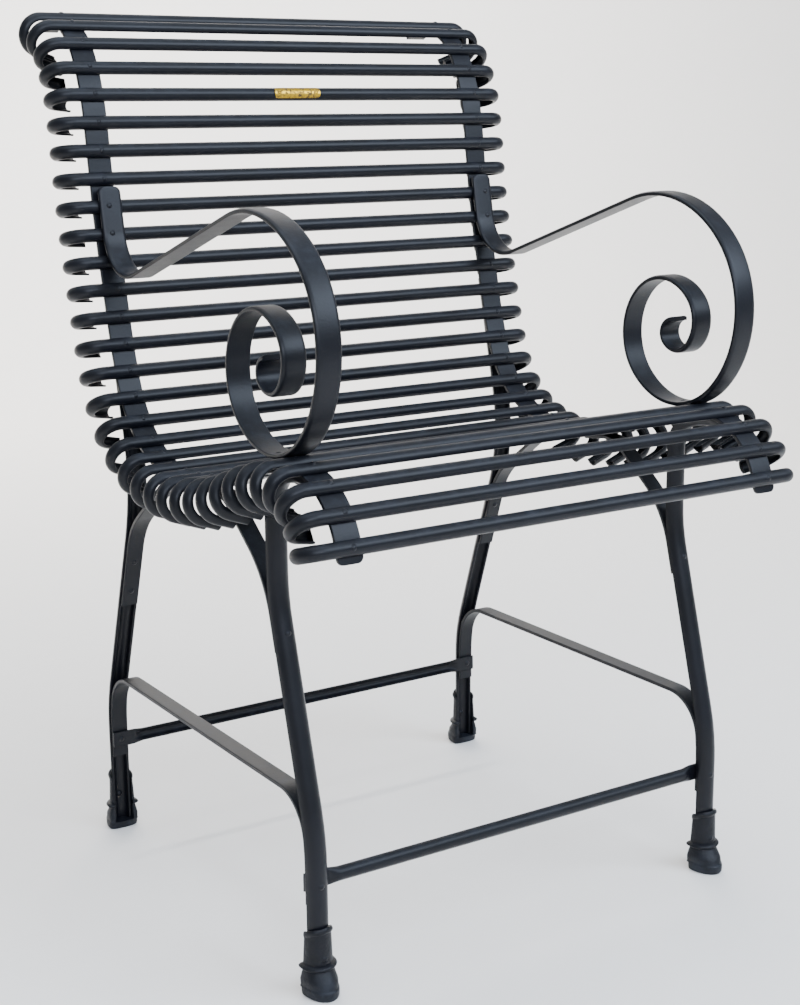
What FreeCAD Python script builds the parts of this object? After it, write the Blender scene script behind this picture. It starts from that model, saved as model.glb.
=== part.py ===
import FreeCAD, Part
import math
import os
import Sketcher

Vector = FreeCAD.Vector

# A riveted garden armchair of bent bar. Millimetres, z up, x across the seat, the sitter faces -y.
# The floor is z = 0 and the origin lies under the middle of the chair.

SIZES = [
    ("chair_width", 560, "across the outermost points of the slat hooks"),
    ("side_x", 234, "middle of the seat to the middle of each side frame"),
    ("slat_count", 33, "slats from the top roll to the front edge"),
    ("slat_pitch", 28.2, "from slat to slat along the strap"),
    ("first_slat", 45, "from the strap's upper end to the first slat"),
    ("slat_width", 14, "half-round channel of the slats"),
    ("slat_depth", 8, ""),
    ("slat_wall", 2, ""),
    ("hook_radius", 15, "inside radius of the slat hooks"),
    ("hook_turn", 160, "degrees that a slat end is bent back"),
    ("hook_tail", 18, "straight end of a hook"),
    ("strap_width", 25, "flat bar of the straps"),
    ("strap_thickness", 4, ""),
    ("strap_tab", 11, "straight lower end of the strap"),
    ("strap_corner", 6, "rounded corners of the strap's lower end"),
    ("strap_top_y", 325, "upper end of the strap's outer face"),
    ("strap_top_z", 870.8, ""),
    ("strap_top_heading", 155, "degrees, the way the strap sets out from its upper end"),
    ("roll_length", 115, "strap runs and their turns, from the top roll to the front drop"),
    ("roll_turn", 84, ""),
    ("neck_length", 57, ""),
    ("neck_turn", 20, ""),
    ("nape_length", 51, ""),
    ("nape_turn", 5, ""),
    ("upper_back_length", 97, ""),
    ("upper_back_turn", -7, ""),
    ("back_length", 75, ""),
    ("lower_back_length", 55, ""),
    ("lower_back_turn", -8, ""),
    ("lumbar_length", 103, ""),
    ("lumbar_turn", -51, ""),
    ("seat_rear_length", 62, ""),
    ("seat_rear_turn", -19, ""),
    ("seat_hollow_length", 142, ""),
    ("seat_hollow_turn", -20.2, ""),
    ("seat_rise_length", 5, ""),
    ("crest_length", 73, ""),
    ("crest_turn", 11.5, ""),
    ("front_drop_length", 115, ""),
    ("front_drop_turn", 85.5, ""),
    ("arm_x", 231.5, "middle of the seat to the middle of each armrest"),
    ("arm_width", 24, "crowned flat bar of the armrests"),
    ("arm_thickness", 4.5, ""),
    ("arm_crown", 1.2, "drop of the rounded shoulders along its edges"),
    ("arm_shoulder", 6, "radius of those shoulders"),
    ("arm_top_slat", 9, "upper slat under the arm's tab; the next one is under it too"),
    ("arm_tab_above", 19, "tab above that slat"),
    ("arm_tab_corner", 6, ""),
    ("arm_seat_slat", 28, "slat on which the scroll stands"),
    ("arm_trough_radius", 48, "bend from the tab into the arm, at the outer face"),
    ("arm_rise", 17.9, "degrees that the arm rises to the front"),
    ("scroll_radius_1", 128, "outer face of the scroll, from the crest on"),
    ("scroll_turn_1", 62.9, ""),
    ("scroll_radius_2", 107, ""),
    ("scroll_radius_3", 84.5, ""),
    ("scroll_radius_4", 63, ""),
    ("scroll_radius_5", 57, ""),
    ("scroll_radius_6", 37, ""),
    ("scroll_radius_7", 26, ""),
    ("scroll_radius_8", 16.5, "rolled tip"),
    ("scroll_last_turn", 130, ""),
    ("leg_width", 21, "half-round channel of the legs"),
    ("leg_depth", 11, ""),
    ("leg_wall", 3, ""),
    ("front_leg_y", -217, "open side of the front leg at the foot"),
    ("front_leg_knee_z", 120, "upright part above the foot"),
    ("front_leg_knee_radius", 200, ""),
    ("front_leg_lean", 15.5, "degrees that the front leg leans back"),
    ("front_leg_top_y", -158, "open side of the front leg below the seat"),
    ("front_leg_upper_radius", 175, ""),
    ("front_leg_bend", 35, "bend of the leg's top under the strap"),
    ("front_leg_reach", 9, "leg's top past its last rivet"),
    ("rear_leg_reach", 14, "leg's top above its first rivet"),
    ("rear_leg_straight", 129, "leg's straight top behind the back"),
    ("rear_leg_upper_radius", 210, ""),
    ("rear_leg_splay", 19.2, "degrees that the rear leg splays"),
    ("rear_leg_knee_z", 120, ""),
    ("rear_leg_knee_radius", 160, ""),
    ("flat_width", 18, "flat bar of the side stretchers and braces"),
    ("flat_thickness", 4, ""),
    ("arch_z", 183, "underside of the side stretchers"),
    ("arch_radius", 42, "inside of their bends"),
    ("arch_end_z", 86, "their lower ends"),
    ("cross_z", 106, "middle of the cross stretchers"),
    ("cross_tab", 3, "thickness of their flattened ends"),
    ("cross_gap", 3, "from the leg's side to where the channel starts"),
    ("cross_squeeze", 14, "length over which the channel is squeezed flat"),
    ("cross_tab_height", 17, "flattened ends, up and down"),
    ("front_brace_low_z", 312, "lower end of the front brace"),
    ("front_brace_straight", 32, "its run on the leg"),
    ("front_brace_radius", 110, ""),
    ("front_brace_slat", 23, "slat whose rivet holds it"),
    ("rear_brace_low_z", 272, "lower end of the rear brace"),
    ("rear_brace_straight", 72, "its run on the leg"),
    ("rear_brace_radius", 80, ""),
    ("rear_brace_slat", 21, "slat whose rivet holds it"),
    ("brace_upper_radius", 45, "bend of each brace under the strap"),
    ("brace_reach", 14, "brace's end past that rivet"),
    ("rivet_radius", 1.8, "shank"),
    ("rivet_head_radius", 3.2, ""),
    ("rivet_head_height", 1.6, ""),
    ("rivet_play", 0.1, "clearance of a rivet in its hole"),
    ("foot_height", 62, "cast foot, sole to rim"),
    ("foot_floor", 8, "underside of the leg above the floor"),
    ("foot_wall", 2.2, ""),
    ("foot_nose", 0.8, "extra wall before the leg's crown"),
    ("foot_play", 0.3, "clearance of the leg in its cup"),
    ("foot_ring_z", 28, "middle of the ring above the hoof"),
    ("foot_ring_height", 5.5, ""),
    ("foot_rim_height", 6, ""),
    ("foot_rim_slant", 22, "degrees that the rim rises to the front"),
    ("foot_ring_flare", 3.8, "growth of the ring past the cup"),
    ("foot_rim_flare", 1.2, "growth of the rim past the cup"),
    ("foot_window", 21.6, "opening of the cup behind the leg, as wide as its socket"),
    ("hoof_toe", 13, "toe past the cup's front"),
    ("hoof_side", 4, "sole past the cup's sides"),
    ("plate_length", 56, "bare name plate, curved to its slat"),
    ("plate_arc", 90, "degrees of the slat's crown that it covers"),
    ("plate_thickness", 1, ""),
    ("plate_corner", 4, ""),
    ("plate_slat", 5, "slat that carries it"),
    ("plate_rivets_apart", 46, ""),
    ("plate_rivet_radius", 1.1, ""),
    ("plate_head_radius", 2.0, ""),
    ("plate_head_height", 0.8, ""),
]

doc = FreeCAD.newDocument("garden_armchair")
sheet = doc.addObject("Spreadsheet::Sheet", "Sizes")
for row, (alias, value, note) in enumerate(SIZES, start=1):
    sheet.set("A%d" % row, alias)
    sheet.set("B%d" % row, str(value))
    sheet.set("C%d" % row, note)
    sheet.setAlias("B%d" % row, alias)
doc.recompute()


def size(alias):
    return float(sheet.get(alias))


def cell(alias):
    return "Sizes." + alias


class Track:
    """A chain of straight runs and tangent arcs in the side plane. A heading of 0 looks along +y
    and one of 90 looks up; an arc with a positive turn bends to the left of the travel."""

    def __init__(self, y, z, heading, steps=()):
        self.start = (y, z, heading)
        self.steps = list(steps)

    def run(self, length, turn=0.0):
        self.steps.append((length, turn))
        return self

    def arc(self, radius, turn):
        return self.run(radius * math.radians(abs(turn)), turn)

    def length(self):
        return sum(length for length, _ in self.steps)

    def at(self, distance):
        """y, z and heading at a distance along the track."""
        place = self.start
        for length, turn in self.steps:
            part = min(distance, length)
            place = walk(place, part, turn * part / length)
            distance -= part
            if distance <= 0:
                break
        return place

    def end(self):
        return self.at(self.length())


def walk(place, length, turn=0.0):
    """The place after a straight run, or after an arc of that length and turn."""
    y, z, heading = place
    first = math.radians(heading)
    if turn == 0:
        return y + length * math.cos(first), z + length * math.sin(first), heading
    radius = length / math.radians(turn)
    last = first + math.radians(turn)
    along = radius * (math.sin(last) - math.sin(first))
    up = radius * (math.cos(first) - math.cos(last))
    return y + along, z + up, heading + turn


def aside(place, distance):
    """The point at a distance to the right of a place, as y and z."""
    y, z, heading = place
    normal = math.radians(heading - 90)
    return y + distance * math.cos(normal), z + distance * math.sin(normal)


def axes(origin, travel, crown):
    """A placement whose z axis follows the travel and whose y axis points to the crown."""
    side = crown.cross(travel)
    turned = FreeCAD.Matrix(
        side.x, crown.x, travel.x, origin.x,
        side.y, crown.y, travel.y, origin.y,
        side.z, crown.z, travel.z, origin.z,
        0, 0, 0, 1)
    return FreeCAD.Placement(turned)


def in_side_plane(y, z):
    return Vector(0, y, z)


def directions(heading):
    """The travel and its right-hand side for a heading in the side plane."""
    angle = math.radians(heading)
    travel = Vector(0, math.cos(angle), math.sin(angle))
    right = Vector(0, math.sin(angle), -math.cos(angle))
    return travel, right


def section_at(track, crown_on_right):
    """The plane of a bar's section at the start of its track."""
    y, z, heading = track.start
    travel, right = directions(heading)
    return axes(in_side_plane(y, z), travel, right if crown_on_right else -right)


def new_body(name):
    return doc.addObject("PartDesign::Body", name)


def new_sketch(body, name, role, offset=None):
    """A sketch on one of its body's own planes."""
    sketch = body.newObject("Sketcher::SketchObject", name)
    plane = [f for f in body.Origin.OriginFeatures if f.Role == role][0]
    sketch.AttachmentSupport = [(plane, "")]
    sketch.MapMode = "FlatFace"
    if offset is not None:
        sketch.AttachmentOffset = offset
    return sketch


def constrain(sketch, *values):
    return sketch.addConstraint(Sketcher.Constraint(*values))


def dimension(sketch, name, formula, *values):
    """A named dimension that follows a formula of the sheet."""
    index = constrain(sketch, *values)
    sketch.renameConstraint(index, name)
    sketch.setExpression("Constraints." + name, formula)


def draw_channel(sketch, width, depth, wall):
    """A hollow half-round section, its open side on the x axis and its crown on +y."""
    half = size(width) / 2
    inner = half - size(wall)
    flank = size(depth) - half
    outer_arc = Part.Circle(Vector(0, flank, 0), Vector(0, 0, 1), half)
    inner_arc = Part.Circle(Vector(0, flank, 0), Vector(0, 0, 1), inner)
    corners = [(-half, 0), (-half, flank), (half, flank), (half, 0),
               (inner, 0), (inner, flank), (-inner, flank), (-inner, 0)]
    points = [Vector(x, y, 0) for x, y in corners]
    sketch.addGeometry([
        Part.LineSegment(points[0], points[1]),
        Part.ArcOfCircle(outer_arc, 0, math.pi),
        Part.LineSegment(points[2], points[3]),
        Part.LineSegment(points[3], points[4]),
        Part.LineSegment(points[4], points[5]),
        Part.ArcOfCircle(inner_arc, 0, math.pi),
        Part.LineSegment(points[6], points[7]),
        Part.LineSegment(points[7], points[0])], False)
    constrain(sketch, "Tangent", 0, 2, 1, 2)
    constrain(sketch, "Tangent", 1, 1, 2, 1)
    constrain(sketch, "Coincident", 2, 2, 3, 1)
    constrain(sketch, "Coincident", 3, 2, 4, 1)
    constrain(sketch, "Tangent", 4, 2, 5, 1)
    constrain(sketch, "Tangent", 5, 2, 6, 1)
    constrain(sketch, "Coincident", 6, 2, 7, 1)
    constrain(sketch, "Coincident", 7, 2, 0, 1)
    for upright in (0, 2, 4, 6):
        constrain(sketch, "Vertical", upright)
    for level in (3, 7):
        constrain(sketch, "Horizontal", level)
    constrain(sketch, "Coincident", 1, 3, 5, 3)
    constrain(sketch, "PointOnObject", 1, 3, -2)
    constrain(sketch, "PointOnObject", 0, 1, -1)
    constrain(sketch, "PointOnObject", 2, 2, -1)
    dimension(sketch, "width", cell(width), "DistanceX", 0, 1, 2, 2, 2 * half)
    dimension(sketch, "wall", cell(wall), "DistanceX", 3, 2, 3, 1, half - inner)
    flank_formula = "%s - %s / 2" % (cell(depth), cell(width))
    dimension(sketch, "flank", flank_formula, "DistanceY", 2, 2, 2, 1, flank)


def draw_flat(sketch, width, thickness):
    """A rectangular section that hangs below the x axis."""
    half = size(width) / 2
    low = -size(thickness)
    points = [Vector(-half, 0, 0), Vector(half, 0, 0), Vector(half, low, 0), Vector(-half, low, 0)]
    for index, point in enumerate(points):
        sketch.addGeometry(Part.LineSegment(point, points[(index + 1) % 4]), False)
    for index in range(4):
        constrain(sketch, "Coincident", index, 2, (index + 1) % 4, 1)
    constrain(sketch, "Horizontal", 0)
    constrain(sketch, "Horizontal", 2)
    constrain(sketch, "Vertical", 1)
    constrain(sketch, "Vertical", 3)
    constrain(sketch, "PointOnObject", 0, 1, -1)
    dimension(sketch, "width", cell(width), "DistanceX", 0, 1, 0, 2, 2 * half)
    dimension(sketch, "side", cell(width) + " / 2", "DistanceX", -1, 1, 0, 2, half)
    dimension(sketch, "thickness", cell(thickness), "DistanceY", 1, 2, 1, 1, -low)


def draw_crowned(sketch, width, thickness, crown, shoulder):
    """A flat section with rounded upper shoulders; the middle of its upper side is the origin."""
    half = size(width) / 2
    rise = size(crown)
    low = -size(thickness)
    radius = size(shoulder)
    turn = math.acos(1 - rise / radius)
    flat = half - radius * math.sin(turn)
    right_circle = Part.Circle(Vector(flat, -radius, 0), Vector(0, 0, 1), radius)
    left_circle = Part.Circle(Vector(-flat, -radius, 0), Vector(0, 0, 1), radius)
    right_top = Vector(half, -rise, 0)
    left_top = Vector(-half, -rise, 0)
    right_low = Vector(half, low, 0)
    left_low = Vector(-half, low, 0)
    sketch.addGeometry([
        Part.ArcOfCircle(right_circle, math.pi / 2 - turn, math.pi / 2),
        Part.LineSegment(Vector(flat, 0, 0), Vector(-flat, 0, 0)),
        Part.ArcOfCircle(left_circle, math.pi / 2, math.pi / 2 + turn),
        Part.LineSegment(left_top, left_low),
        Part.LineSegment(left_low, right_low),
        Part.LineSegment(right_low, right_top)], False)
    constrain(sketch, "Tangent", 0, 2, 1, 1)
    constrain(sketch, "Tangent", 1, 2, 2, 1)
    for index in (2, 3, 4):
        constrain(sketch, "Coincident", index, 2, index + 1, 1)
    constrain(sketch, "Coincident", 5, 2, 0, 1)
    constrain(sketch, "Horizontal", 1)
    constrain(sketch, "Vertical", 3)
    constrain(sketch, "Vertical", 5)
    constrain(sketch, "Horizontal", 4)
    constrain(sketch, "Equal", 0, 2)
    constrain(sketch, "Equal", 3, 5)
    constrain(sketch, "PointOnObject", 1, 1, -1)
    dimension(sketch, "width", cell(width), "DistanceX", 4, 1, 4, 2, 2 * half)
    dimension(sketch, "side", cell(width) + " / 2", "DistanceX", -1, 1, 4, 2, half)
    dimension(sketch, "depth", cell(thickness), "DistanceY", 4, 2, -1, 1, -low)
    dimension(sketch, "shoulder", cell(shoulder), "Radius", 0, radius)
    flank_formula = "%s - %s" % (cell(thickness), cell(crown))
    dimension(sketch, "flank", flank_formula, "DistanceY", 5, 1, 5, 2, -low - rise)


def draw_track(sketch, track):
    """The track as lines and arcs of a sketch in the side plane."""
    place = track.start
    for length, turn in track.steps:
        following = walk(place, length, turn)
        first = Vector(place[0], place[1], 0)
        last = Vector(following[0], following[1], 0)
        if turn == 0:
            sketch.addGeometry(Part.LineSegment(first, last), False)
        else:
            middle = walk(place, length / 2, turn / 2)
            arc = Part.Arc(first, Vector(middle[0], middle[1], 0), last)
            sketch.addGeometry(arc, False)
        place = following


def sweep(body, profile, path, edge_count):
    doc.recompute()
    pipe = body.newObject("PartDesign::AdditivePipe", body.Name + "_sweep")
    pipe.Profile = profile
    pipe.Spine = (path, ["Edge%d" % (index + 1) for index in range(edge_count)])
    body.Tip = pipe
    doc.recompute()
    return pipe


def bent_bar(name, track, draw_section, crown_on_right):
    """A bar of one section, swept along a track in the side plane."""
    body = new_body(name)
    profile = new_sketch(body, name + "_section", "XY_Plane", section_at(track, crown_on_right))
    draw_section(profile)
    path = new_sketch(body, name + "_path", "YZ_Plane")
    draw_track(path, track)
    sweep(body, profile, path, len(track.steps))
    return body


def bored(name, label, base, cutters):
    """The base with its holes: a cut by all the cutters together."""
    tool = doc.addObject("Part::Feature", name + "_cutters")
    tool.Shape = cutters[0].multiFuse(cutters[1:]) if len(cutters) > 1 else cutters[0]
    cut = doc.addObject("Part::Cut", name)
    cut.Base = base
    cut.Tool = tool
    cut.Label = label
    return cut


PIECES = []


def keep(piece, label, x=0.0):
    """Takes a finished piece into the chair and sets it at its distance from the middle."""
    piece.Label = label
    piece.Placement.Base.x = x
    PIECES.append(piece)
    return piece


SIDES = (("left", -1), ("right", 1))

# The strap's outer face carries the slats.
strap_track = Track(size("strap_top_y"), size("strap_top_z"), size("strap_top_heading"))
strap_track.run(size("roll_length"), size("roll_turn"))
strap_track.run(size("neck_length"), size("neck_turn"))
strap_track.run(size("nape_length"), size("nape_turn"))
strap_track.run(size("upper_back_length"), size("upper_back_turn"))
strap_track.run(size("back_length"))
strap_track.run(size("lower_back_length"), size("lower_back_turn"))
strap_track.run(size("lumbar_length"), size("lumbar_turn"))
strap_track.run(size("seat_rear_length"), size("seat_rear_turn"))
strap_track.run(size("seat_hollow_length"), size("seat_hollow_turn"))
strap_track.run(size("seat_rise_length"))
crest_start = strap_track.length()
strap_track.run(size("crest_length"), size("crest_turn"))
strap_track.run(size("front_drop_length"), size("front_drop_turn"))
strap_track.run(size("strap_tab"))

slat_count = int(size("slat_count"))
rivet_radius = size("rivet_radius")
hole_radius = rivet_radius + size("rivet_play")
head_radius = size("rivet_head_radius")


def slat_distance(number):
    return size("first_slat") + (number - 1) * size("slat_pitch")


def slat_place(number):
    return strap_track.at(slat_distance(number))


def face_rise(track_side, number, reach):
    """How far the strap's face rises over its tangent plane within a reach of a slat's middle.
    The side is 1 for the outer face and -1 for the inner one."""
    depth = 0 if track_side > 0 else size("strap_thickness")
    middle = in_side_plane(*aside(slat_place(number), -depth))
    outward = directions(slat_place(number)[2])[1] * track_side
    rises = [0.0]
    for shift in (-reach, reach):
        place = strap_track.at(slat_distance(number) + shift)
        rises.append((in_side_plane(*aside(place, -depth)) - middle).dot(outward))
    return max(rises)


def seat_lift(number):
    """How far a slat's edges hold it off the strap where the strap is hollow."""
    return face_rise(1, number, size("slat_width") / 2)


def crown_drop(radius):
    """How far a rivet head sinks into a round crown until it sits all round."""
    return radius - math.sqrt(radius * radius - head_radius * head_radius)


def slat_body(number):
    """One slat: a channel along x with hooked ends, drilled for its two rivets."""
    name = "slat_%02d" % number
    body = new_body(name)
    radius = size("hook_radius")
    turn = size("hook_turn")
    half = size("chair_width") / 2 - radius - size("slat_depth")
    half_formula = "%s / 2 - %s - %s" % (cell("chair_width"), cell("hook_radius"), cell("slat_depth"))

    # x and z here take the place of a track's y and z.
    hook = Track(half, 0, 0).arc(radius, -turn).run(size("hook_tail"))
    bend_x, bend_z, _ = hook.at(hook.steps[0][0])
    tip_x, tip_z, _ = hook.end()
    path = new_sketch(body, name + "_path", "XZ_Plane")
    centre = Part.Circle(Vector(half, -radius, 0), Vector(0, 0, 1), radius)
    mirrored = Part.Circle(Vector(-half, -radius, 0), Vector(0, 0, 1), radius)
    rest = math.pi / 2 - math.radians(turn)
    path.addGeometry([
        Part.LineSegment(Vector(-tip_x, tip_z, 0), Vector(-bend_x, bend_z, 0)),
        Part.ArcOfCircle(mirrored, math.pi / 2, math.pi - rest),
        Part.LineSegment(Vector(-half, 0, 0), Vector(half, 0, 0)),
        Part.ArcOfCircle(centre, rest, math.pi / 2),
        Part.LineSegment(Vector(bend_x, bend_z, 0), Vector(tip_x, tip_z, 0))], False)
    constrain(path, "Tangent", 0, 2, 1, 2)
    constrain(path, "Tangent", 1, 1, 2, 1)
    constrain(path, "Tangent", 2, 2, 3, 2)
    constrain(path, "Tangent", 3, 1, 4, 1)
    constrain(path, "PointOnObject", 2, 1, -1)
    constrain(path, "Horizontal", 2)
    dimension(path, "left_half", half_formula, "DistanceX", 2, 1, -1, 1, half)
    dimension(path, "right_half", half_formula, "DistanceX", -1, 1, 2, 2, half)
    dimension(path, "left_bend", cell("hook_radius"), "Radius", 1, radius)
    dimension(path, "right_bend", cell("hook_radius"), "Radius", 3, radius)
    dimension(path, "left_tail", cell("hook_tail"), "Distance", 0, size("hook_tail"))
    dimension(path, "right_tail", cell("hook_tail"), "Distance", 4, size("hook_tail"))

    angle = math.radians(180 - turn)
    travel = Vector(-math.cos(angle), 0, math.sin(angle))
    crown = Vector(-math.sin(angle), 0, -math.cos(angle))
    section = new_sketch(body, name + "_section", "XY_Plane", axes(Vector(-tip_x, 0, tip_z), travel, crown))
    draw_channel(section, "slat_width", "slat_depth", "slat_wall")
    sweep(body, section, path, 5)

    top = FreeCAD.Placement(Vector(0, 0, size("slat_depth")), FreeCAD.Rotation())
    drop = crown_drop(size("slat_width") / 2)
    for kind, radius_cell, depth in (
            ("seat", "rivet_head_radius", drop),
            ("hole", "rivet_radius", size("slat_depth"))):
        sketch = new_sketch(body, name + "_" + kind, "XY_Plane", top)
        play = " + " + cell("rivet_play")
        for index, (side, sign) in enumerate(SIDES):
            value = size(radius_cell) + size("rivet_play")
            middle = Vector(sign * size("side_x"), 0, 0)
            sketch.addGeometry(Part.Circle(middle, Vector(0, 0, 1), value), False)
            constrain(sketch, "PointOnObject", index, 3, -1)
            ends = (index, 3, -1, 1) if sign < 0 else (-1, 1, index, 3)
            dimension(sketch, side + "_place", cell("side_x"), "DistanceX", *ends, size("side_x"))
            dimension(sketch, side + "_radius", cell(radius_cell) + play, "Radius", index, value)
        doc.recompute()
        pocket = body.newObject("PartDesign::Pocket", name + "_" + kind + "_cut")
        pocket.Profile = sketch
        pocket.Length = depth
        body.Tip = pocket
    return body


for number in range(1, slat_count + 1):
    y, z, heading = slat_place(number)
    travel, right = directions(heading)
    slat = slat_body(number)
    # The slat's z axis is the strap's outward side and its y axis looks back along the strap.
    slat.Placement = axes(in_side_plane(y, z) + right * seat_lift(number), right, -travel)
    slat.Label = slat.Name
    PIECES.append(slat)


def hole_cutter(point, normal, low, high):
    """A rivet's hole from one level to another along its normal."""
    return Part.makeCylinder(hole_radius, high - low, point + normal * low, normal)


def seat_cutter(point, normal, level):
    """The flat that a rivet head sits on, cut outwards from its level."""
    depth = 2 * size("rivet_head_height") + size("leg_wall")
    return Part.makeCylinder(head_radius + size("rivet_play"), depth, point + normal * level, normal)


def rivet_solid(point, normal, low, high, shank=None, head=None, height=None):
    """A rivet with a domed head at each end, clamped between two levels."""
    shank = shank or rivet_radius
    head = head or head_radius
    height = height or size("rivet_head_height")
    dome = (head * head + height * height) / (2 * height)
    slope = math.asin(head / dome) / 2

    def on_dome(base, sign, angle):
        return Vector(dome * math.sin(angle), 0, base + sign * (height - dome + dome * math.cos(angle)))

    corners = [Vector(head, 0, high), Vector(shank, 0, high), Vector(shank, 0, low), Vector(head, 0, low)]
    top = Vector(0, 0, high + height)
    bottom = Vector(0, 0, low - height)
    edges = [
        Part.Arc(top, on_dome(high, 1, slope), corners[0]).toShape(),
        Part.LineSegment(corners[0], corners[1]).toShape(),
        Part.LineSegment(corners[1], corners[2]).toShape(),
        Part.LineSegment(corners[2], corners[3]).toShape(),
        Part.Arc(corners[3], on_dome(low, -1, slope), bottom).toShape(),
        Part.LineSegment(bottom, top).toShape()]
    solid = Part.Face(Part.Wire(edges)).revolve(Vector(0, 0, 0), Vector(0, 0, 1), 360)
    turned = FreeCAD.Rotation(Vector(0, 0, 1), normal)
    solid.Placement = FreeCAD.Placement(point, turned)
    return solid


def corner_cutters(place, into, half, radius):
    """What comes off a bar's end so that its two corners are round. The bar lies ahead of the
    place where into is 1 and behind it where into is -1."""
    y, z, heading = place
    travel, right = directions(heading)
    origin = in_side_plane(y, z)
    past = radius / 2
    bulge = radius * (1 - math.sqrt(0.5))
    solids = []
    for sign in (-1, 1):
        outline = [(half - radius, 0), (half - bulge, bulge), (half, radius),
                   (half + past, radius), (half + past, -past), (half - radius, -past)]
        points = [origin + Vector(sign * x, 0, 0) + travel * (into * along) for x, along in outline]
        edges = [Part.Arc(*points[:3]).toShape()]
        ring = points[2:] + points[:1]
        for first, second in zip(ring, ring[1:]):
            edges.append(Part.LineSegment(first, second).toShape())
        solid = Part.Face(Part.Wire(edges)).extrude(right * (4 * radius))
        solid.translate(right * (-2 * radius))
        solids.append(solid)
    return solids


# The crown of a slat is round about this line; the arms and the rivets take their places from it.
slat_crown = size("slat_width") / 2
slat_flank = size("slat_depth") - slat_crown


def crown_centre(number):
    return aside(slat_place(number), slat_flank + seat_lift(number))


def slat_frame(number):
    """A slat's place on the strap's outer face and the outward direction there."""
    y, z, heading = slat_place(number)
    return in_side_plane(y, z), directions(heading)[1]


# The armrest: its tab lies on two slats of the back and its scroll stands on two of the seat.
arm_slats = (int(size("arm_top_slat")), int(size("arm_top_slat")) + 1)
seat_slats = (int(size("arm_seat_slat")), int(size("arm_seat_slat")) + 1)
arm_thickness = size("arm_thickness")
upper = crown_centre(arm_slats[0])
lower = crown_centre(arm_slats[1])
tab_heading = math.degrees(math.atan2(lower[1] - upper[1], lower[0] - upper[0])) % 360
tab_start = walk((upper[0], upper[1], tab_heading), -size("arm_tab_above"))
tab_face = aside(tab_start, slat_crown + arm_thickness)
rise_heading = 180 - size("arm_rise")
stand_radius = size("scroll_radius_3")

rear_stand = crown_centre(seat_slats[0])
front_stand = crown_centre(seat_slats[1])
half_apart = math.dist(rear_stand, front_stand) / 2
climb = math.sqrt((stand_radius + slat_crown) ** 2 - half_apart ** 2)
across_y = (rear_stand[0] - front_stand[0]) / (2 * half_apart)
across_z = (rear_stand[1] - front_stand[1]) / (2 * half_apart)
stand_centre = ((rear_stand[0] + front_stand[0]) / 2 - across_z * climb,
                (rear_stand[1] + front_stand[1]) / 2 + across_y * climb)

trough = Track(0, 0, tab_heading).arc(size("arm_trough_radius"), rise_heading - tab_heading).end()
bow = Track(0, 0, rise_heading).arc(size("scroll_radius_1"), size("scroll_turn_1"))
bow.arc(size("scroll_radius_2"), 90)
bow_end = bow.end()
bow_centre = aside(bow_end, -stand_radius)
wanted_y = stand_centre[0] - tab_face[0] - trough[0] - bow_centre[0]
wanted_z = stand_centre[1] - tab_face[1] - trough[1] - bow_centre[1]
tab_angle = math.radians(tab_heading)
rise_angle = math.radians(rise_heading)
cross = math.sin(rise_angle - tab_angle)
tab_run = (wanted_y * math.sin(rise_angle) - wanted_z * math.cos(rise_angle)) / cross
arm_run = (wanted_z * math.cos(tab_angle) - wanted_y * math.sin(tab_angle)) / cross

arm_track = Track(tab_face[0], tab_face[1], tab_heading).run(tab_run)
arm_track.arc(size("arm_trough_radius"), rise_heading - tab_heading)
arm_track.run(arm_run)
arm_track.arc(size("scroll_radius_1"), size("scroll_turn_1"))
for turn_number in range(2, 8):
    arm_track.arc(size("scroll_radius_%d" % turn_number), 90)
arm_track.arc(size("scroll_radius_8"), size("scroll_last_turn"))


def scroll_level(number):
    """Where the rivet of a seat slat meets the inside of the arm's scroll, from the strap's face."""
    centre = Vector(0, stand_centre[0], stand_centre[1])
    point, normal = slat_frame(number)
    along = (centre - point).dot(normal)
    off = (centre - point - normal * along).Length
    inner = stand_radius - arm_thickness
    tilt = off / inner
    return along - math.sqrt(inner * inner - off * off) - head_radius * tilt


# The front leg rises from its foot, leans back and bends forward under the strap's crest.
leg_crown = size("leg_width") / 2
lean = size("front_leg_lean")
leg_slats = (seat_slats[1], seat_slats[1] + 1)
front_leg = Track(size("front_leg_y"), size("foot_floor"), 90)
front_leg.run(size("front_leg_knee_z") - size("foot_floor"))
front_leg.arc(size("front_leg_knee_radius"), -lean)
upper_shift = size("front_leg_upper_radius") * (1 - math.cos(math.radians(lean)))
sloped = size("front_leg_top_y") - front_leg.end()[0] - upper_shift
front_leg.run(sloped / math.sin(math.radians(lean)))
front_leg.arc(size("front_leg_upper_radius"), lean)
crest = strap_track.at(crest_start)
crest_radius = size("crest_length") / math.radians(size("crest_turn"))
crest_centre = aside(crest, -crest_radius)
bend = size("front_leg_bend")
under_radius = crest_radius - size("strap_thickness")
bend_y = size("front_leg_top_y") - bend
bend_z = crest_centre[1] + math.sqrt((under_radius - bend) ** 2 - (bend_y - crest_centre[0]) ** 2)
front_leg.run(bend_z - front_leg.end()[1])
bend_turn = math.degrees(math.atan2(bend_z - crest_centre[1], bend_y - crest_centre[0]))
front_leg.arc(bend, bend_turn)
leg_end = strap_track.at(slat_distance(leg_slats[1]) + size("front_leg_reach"))
crest_end = strap_track.at(crest_start + size("crest_length"))
drop_radius = size("front_drop_length") / math.radians(size("front_drop_turn"))
front_leg.arc(under_radius, crest_end[2] - 90 - bend_turn)
front_leg.arc(drop_radius - size("strap_thickness"), leg_end[2] - crest_end[2])

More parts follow.
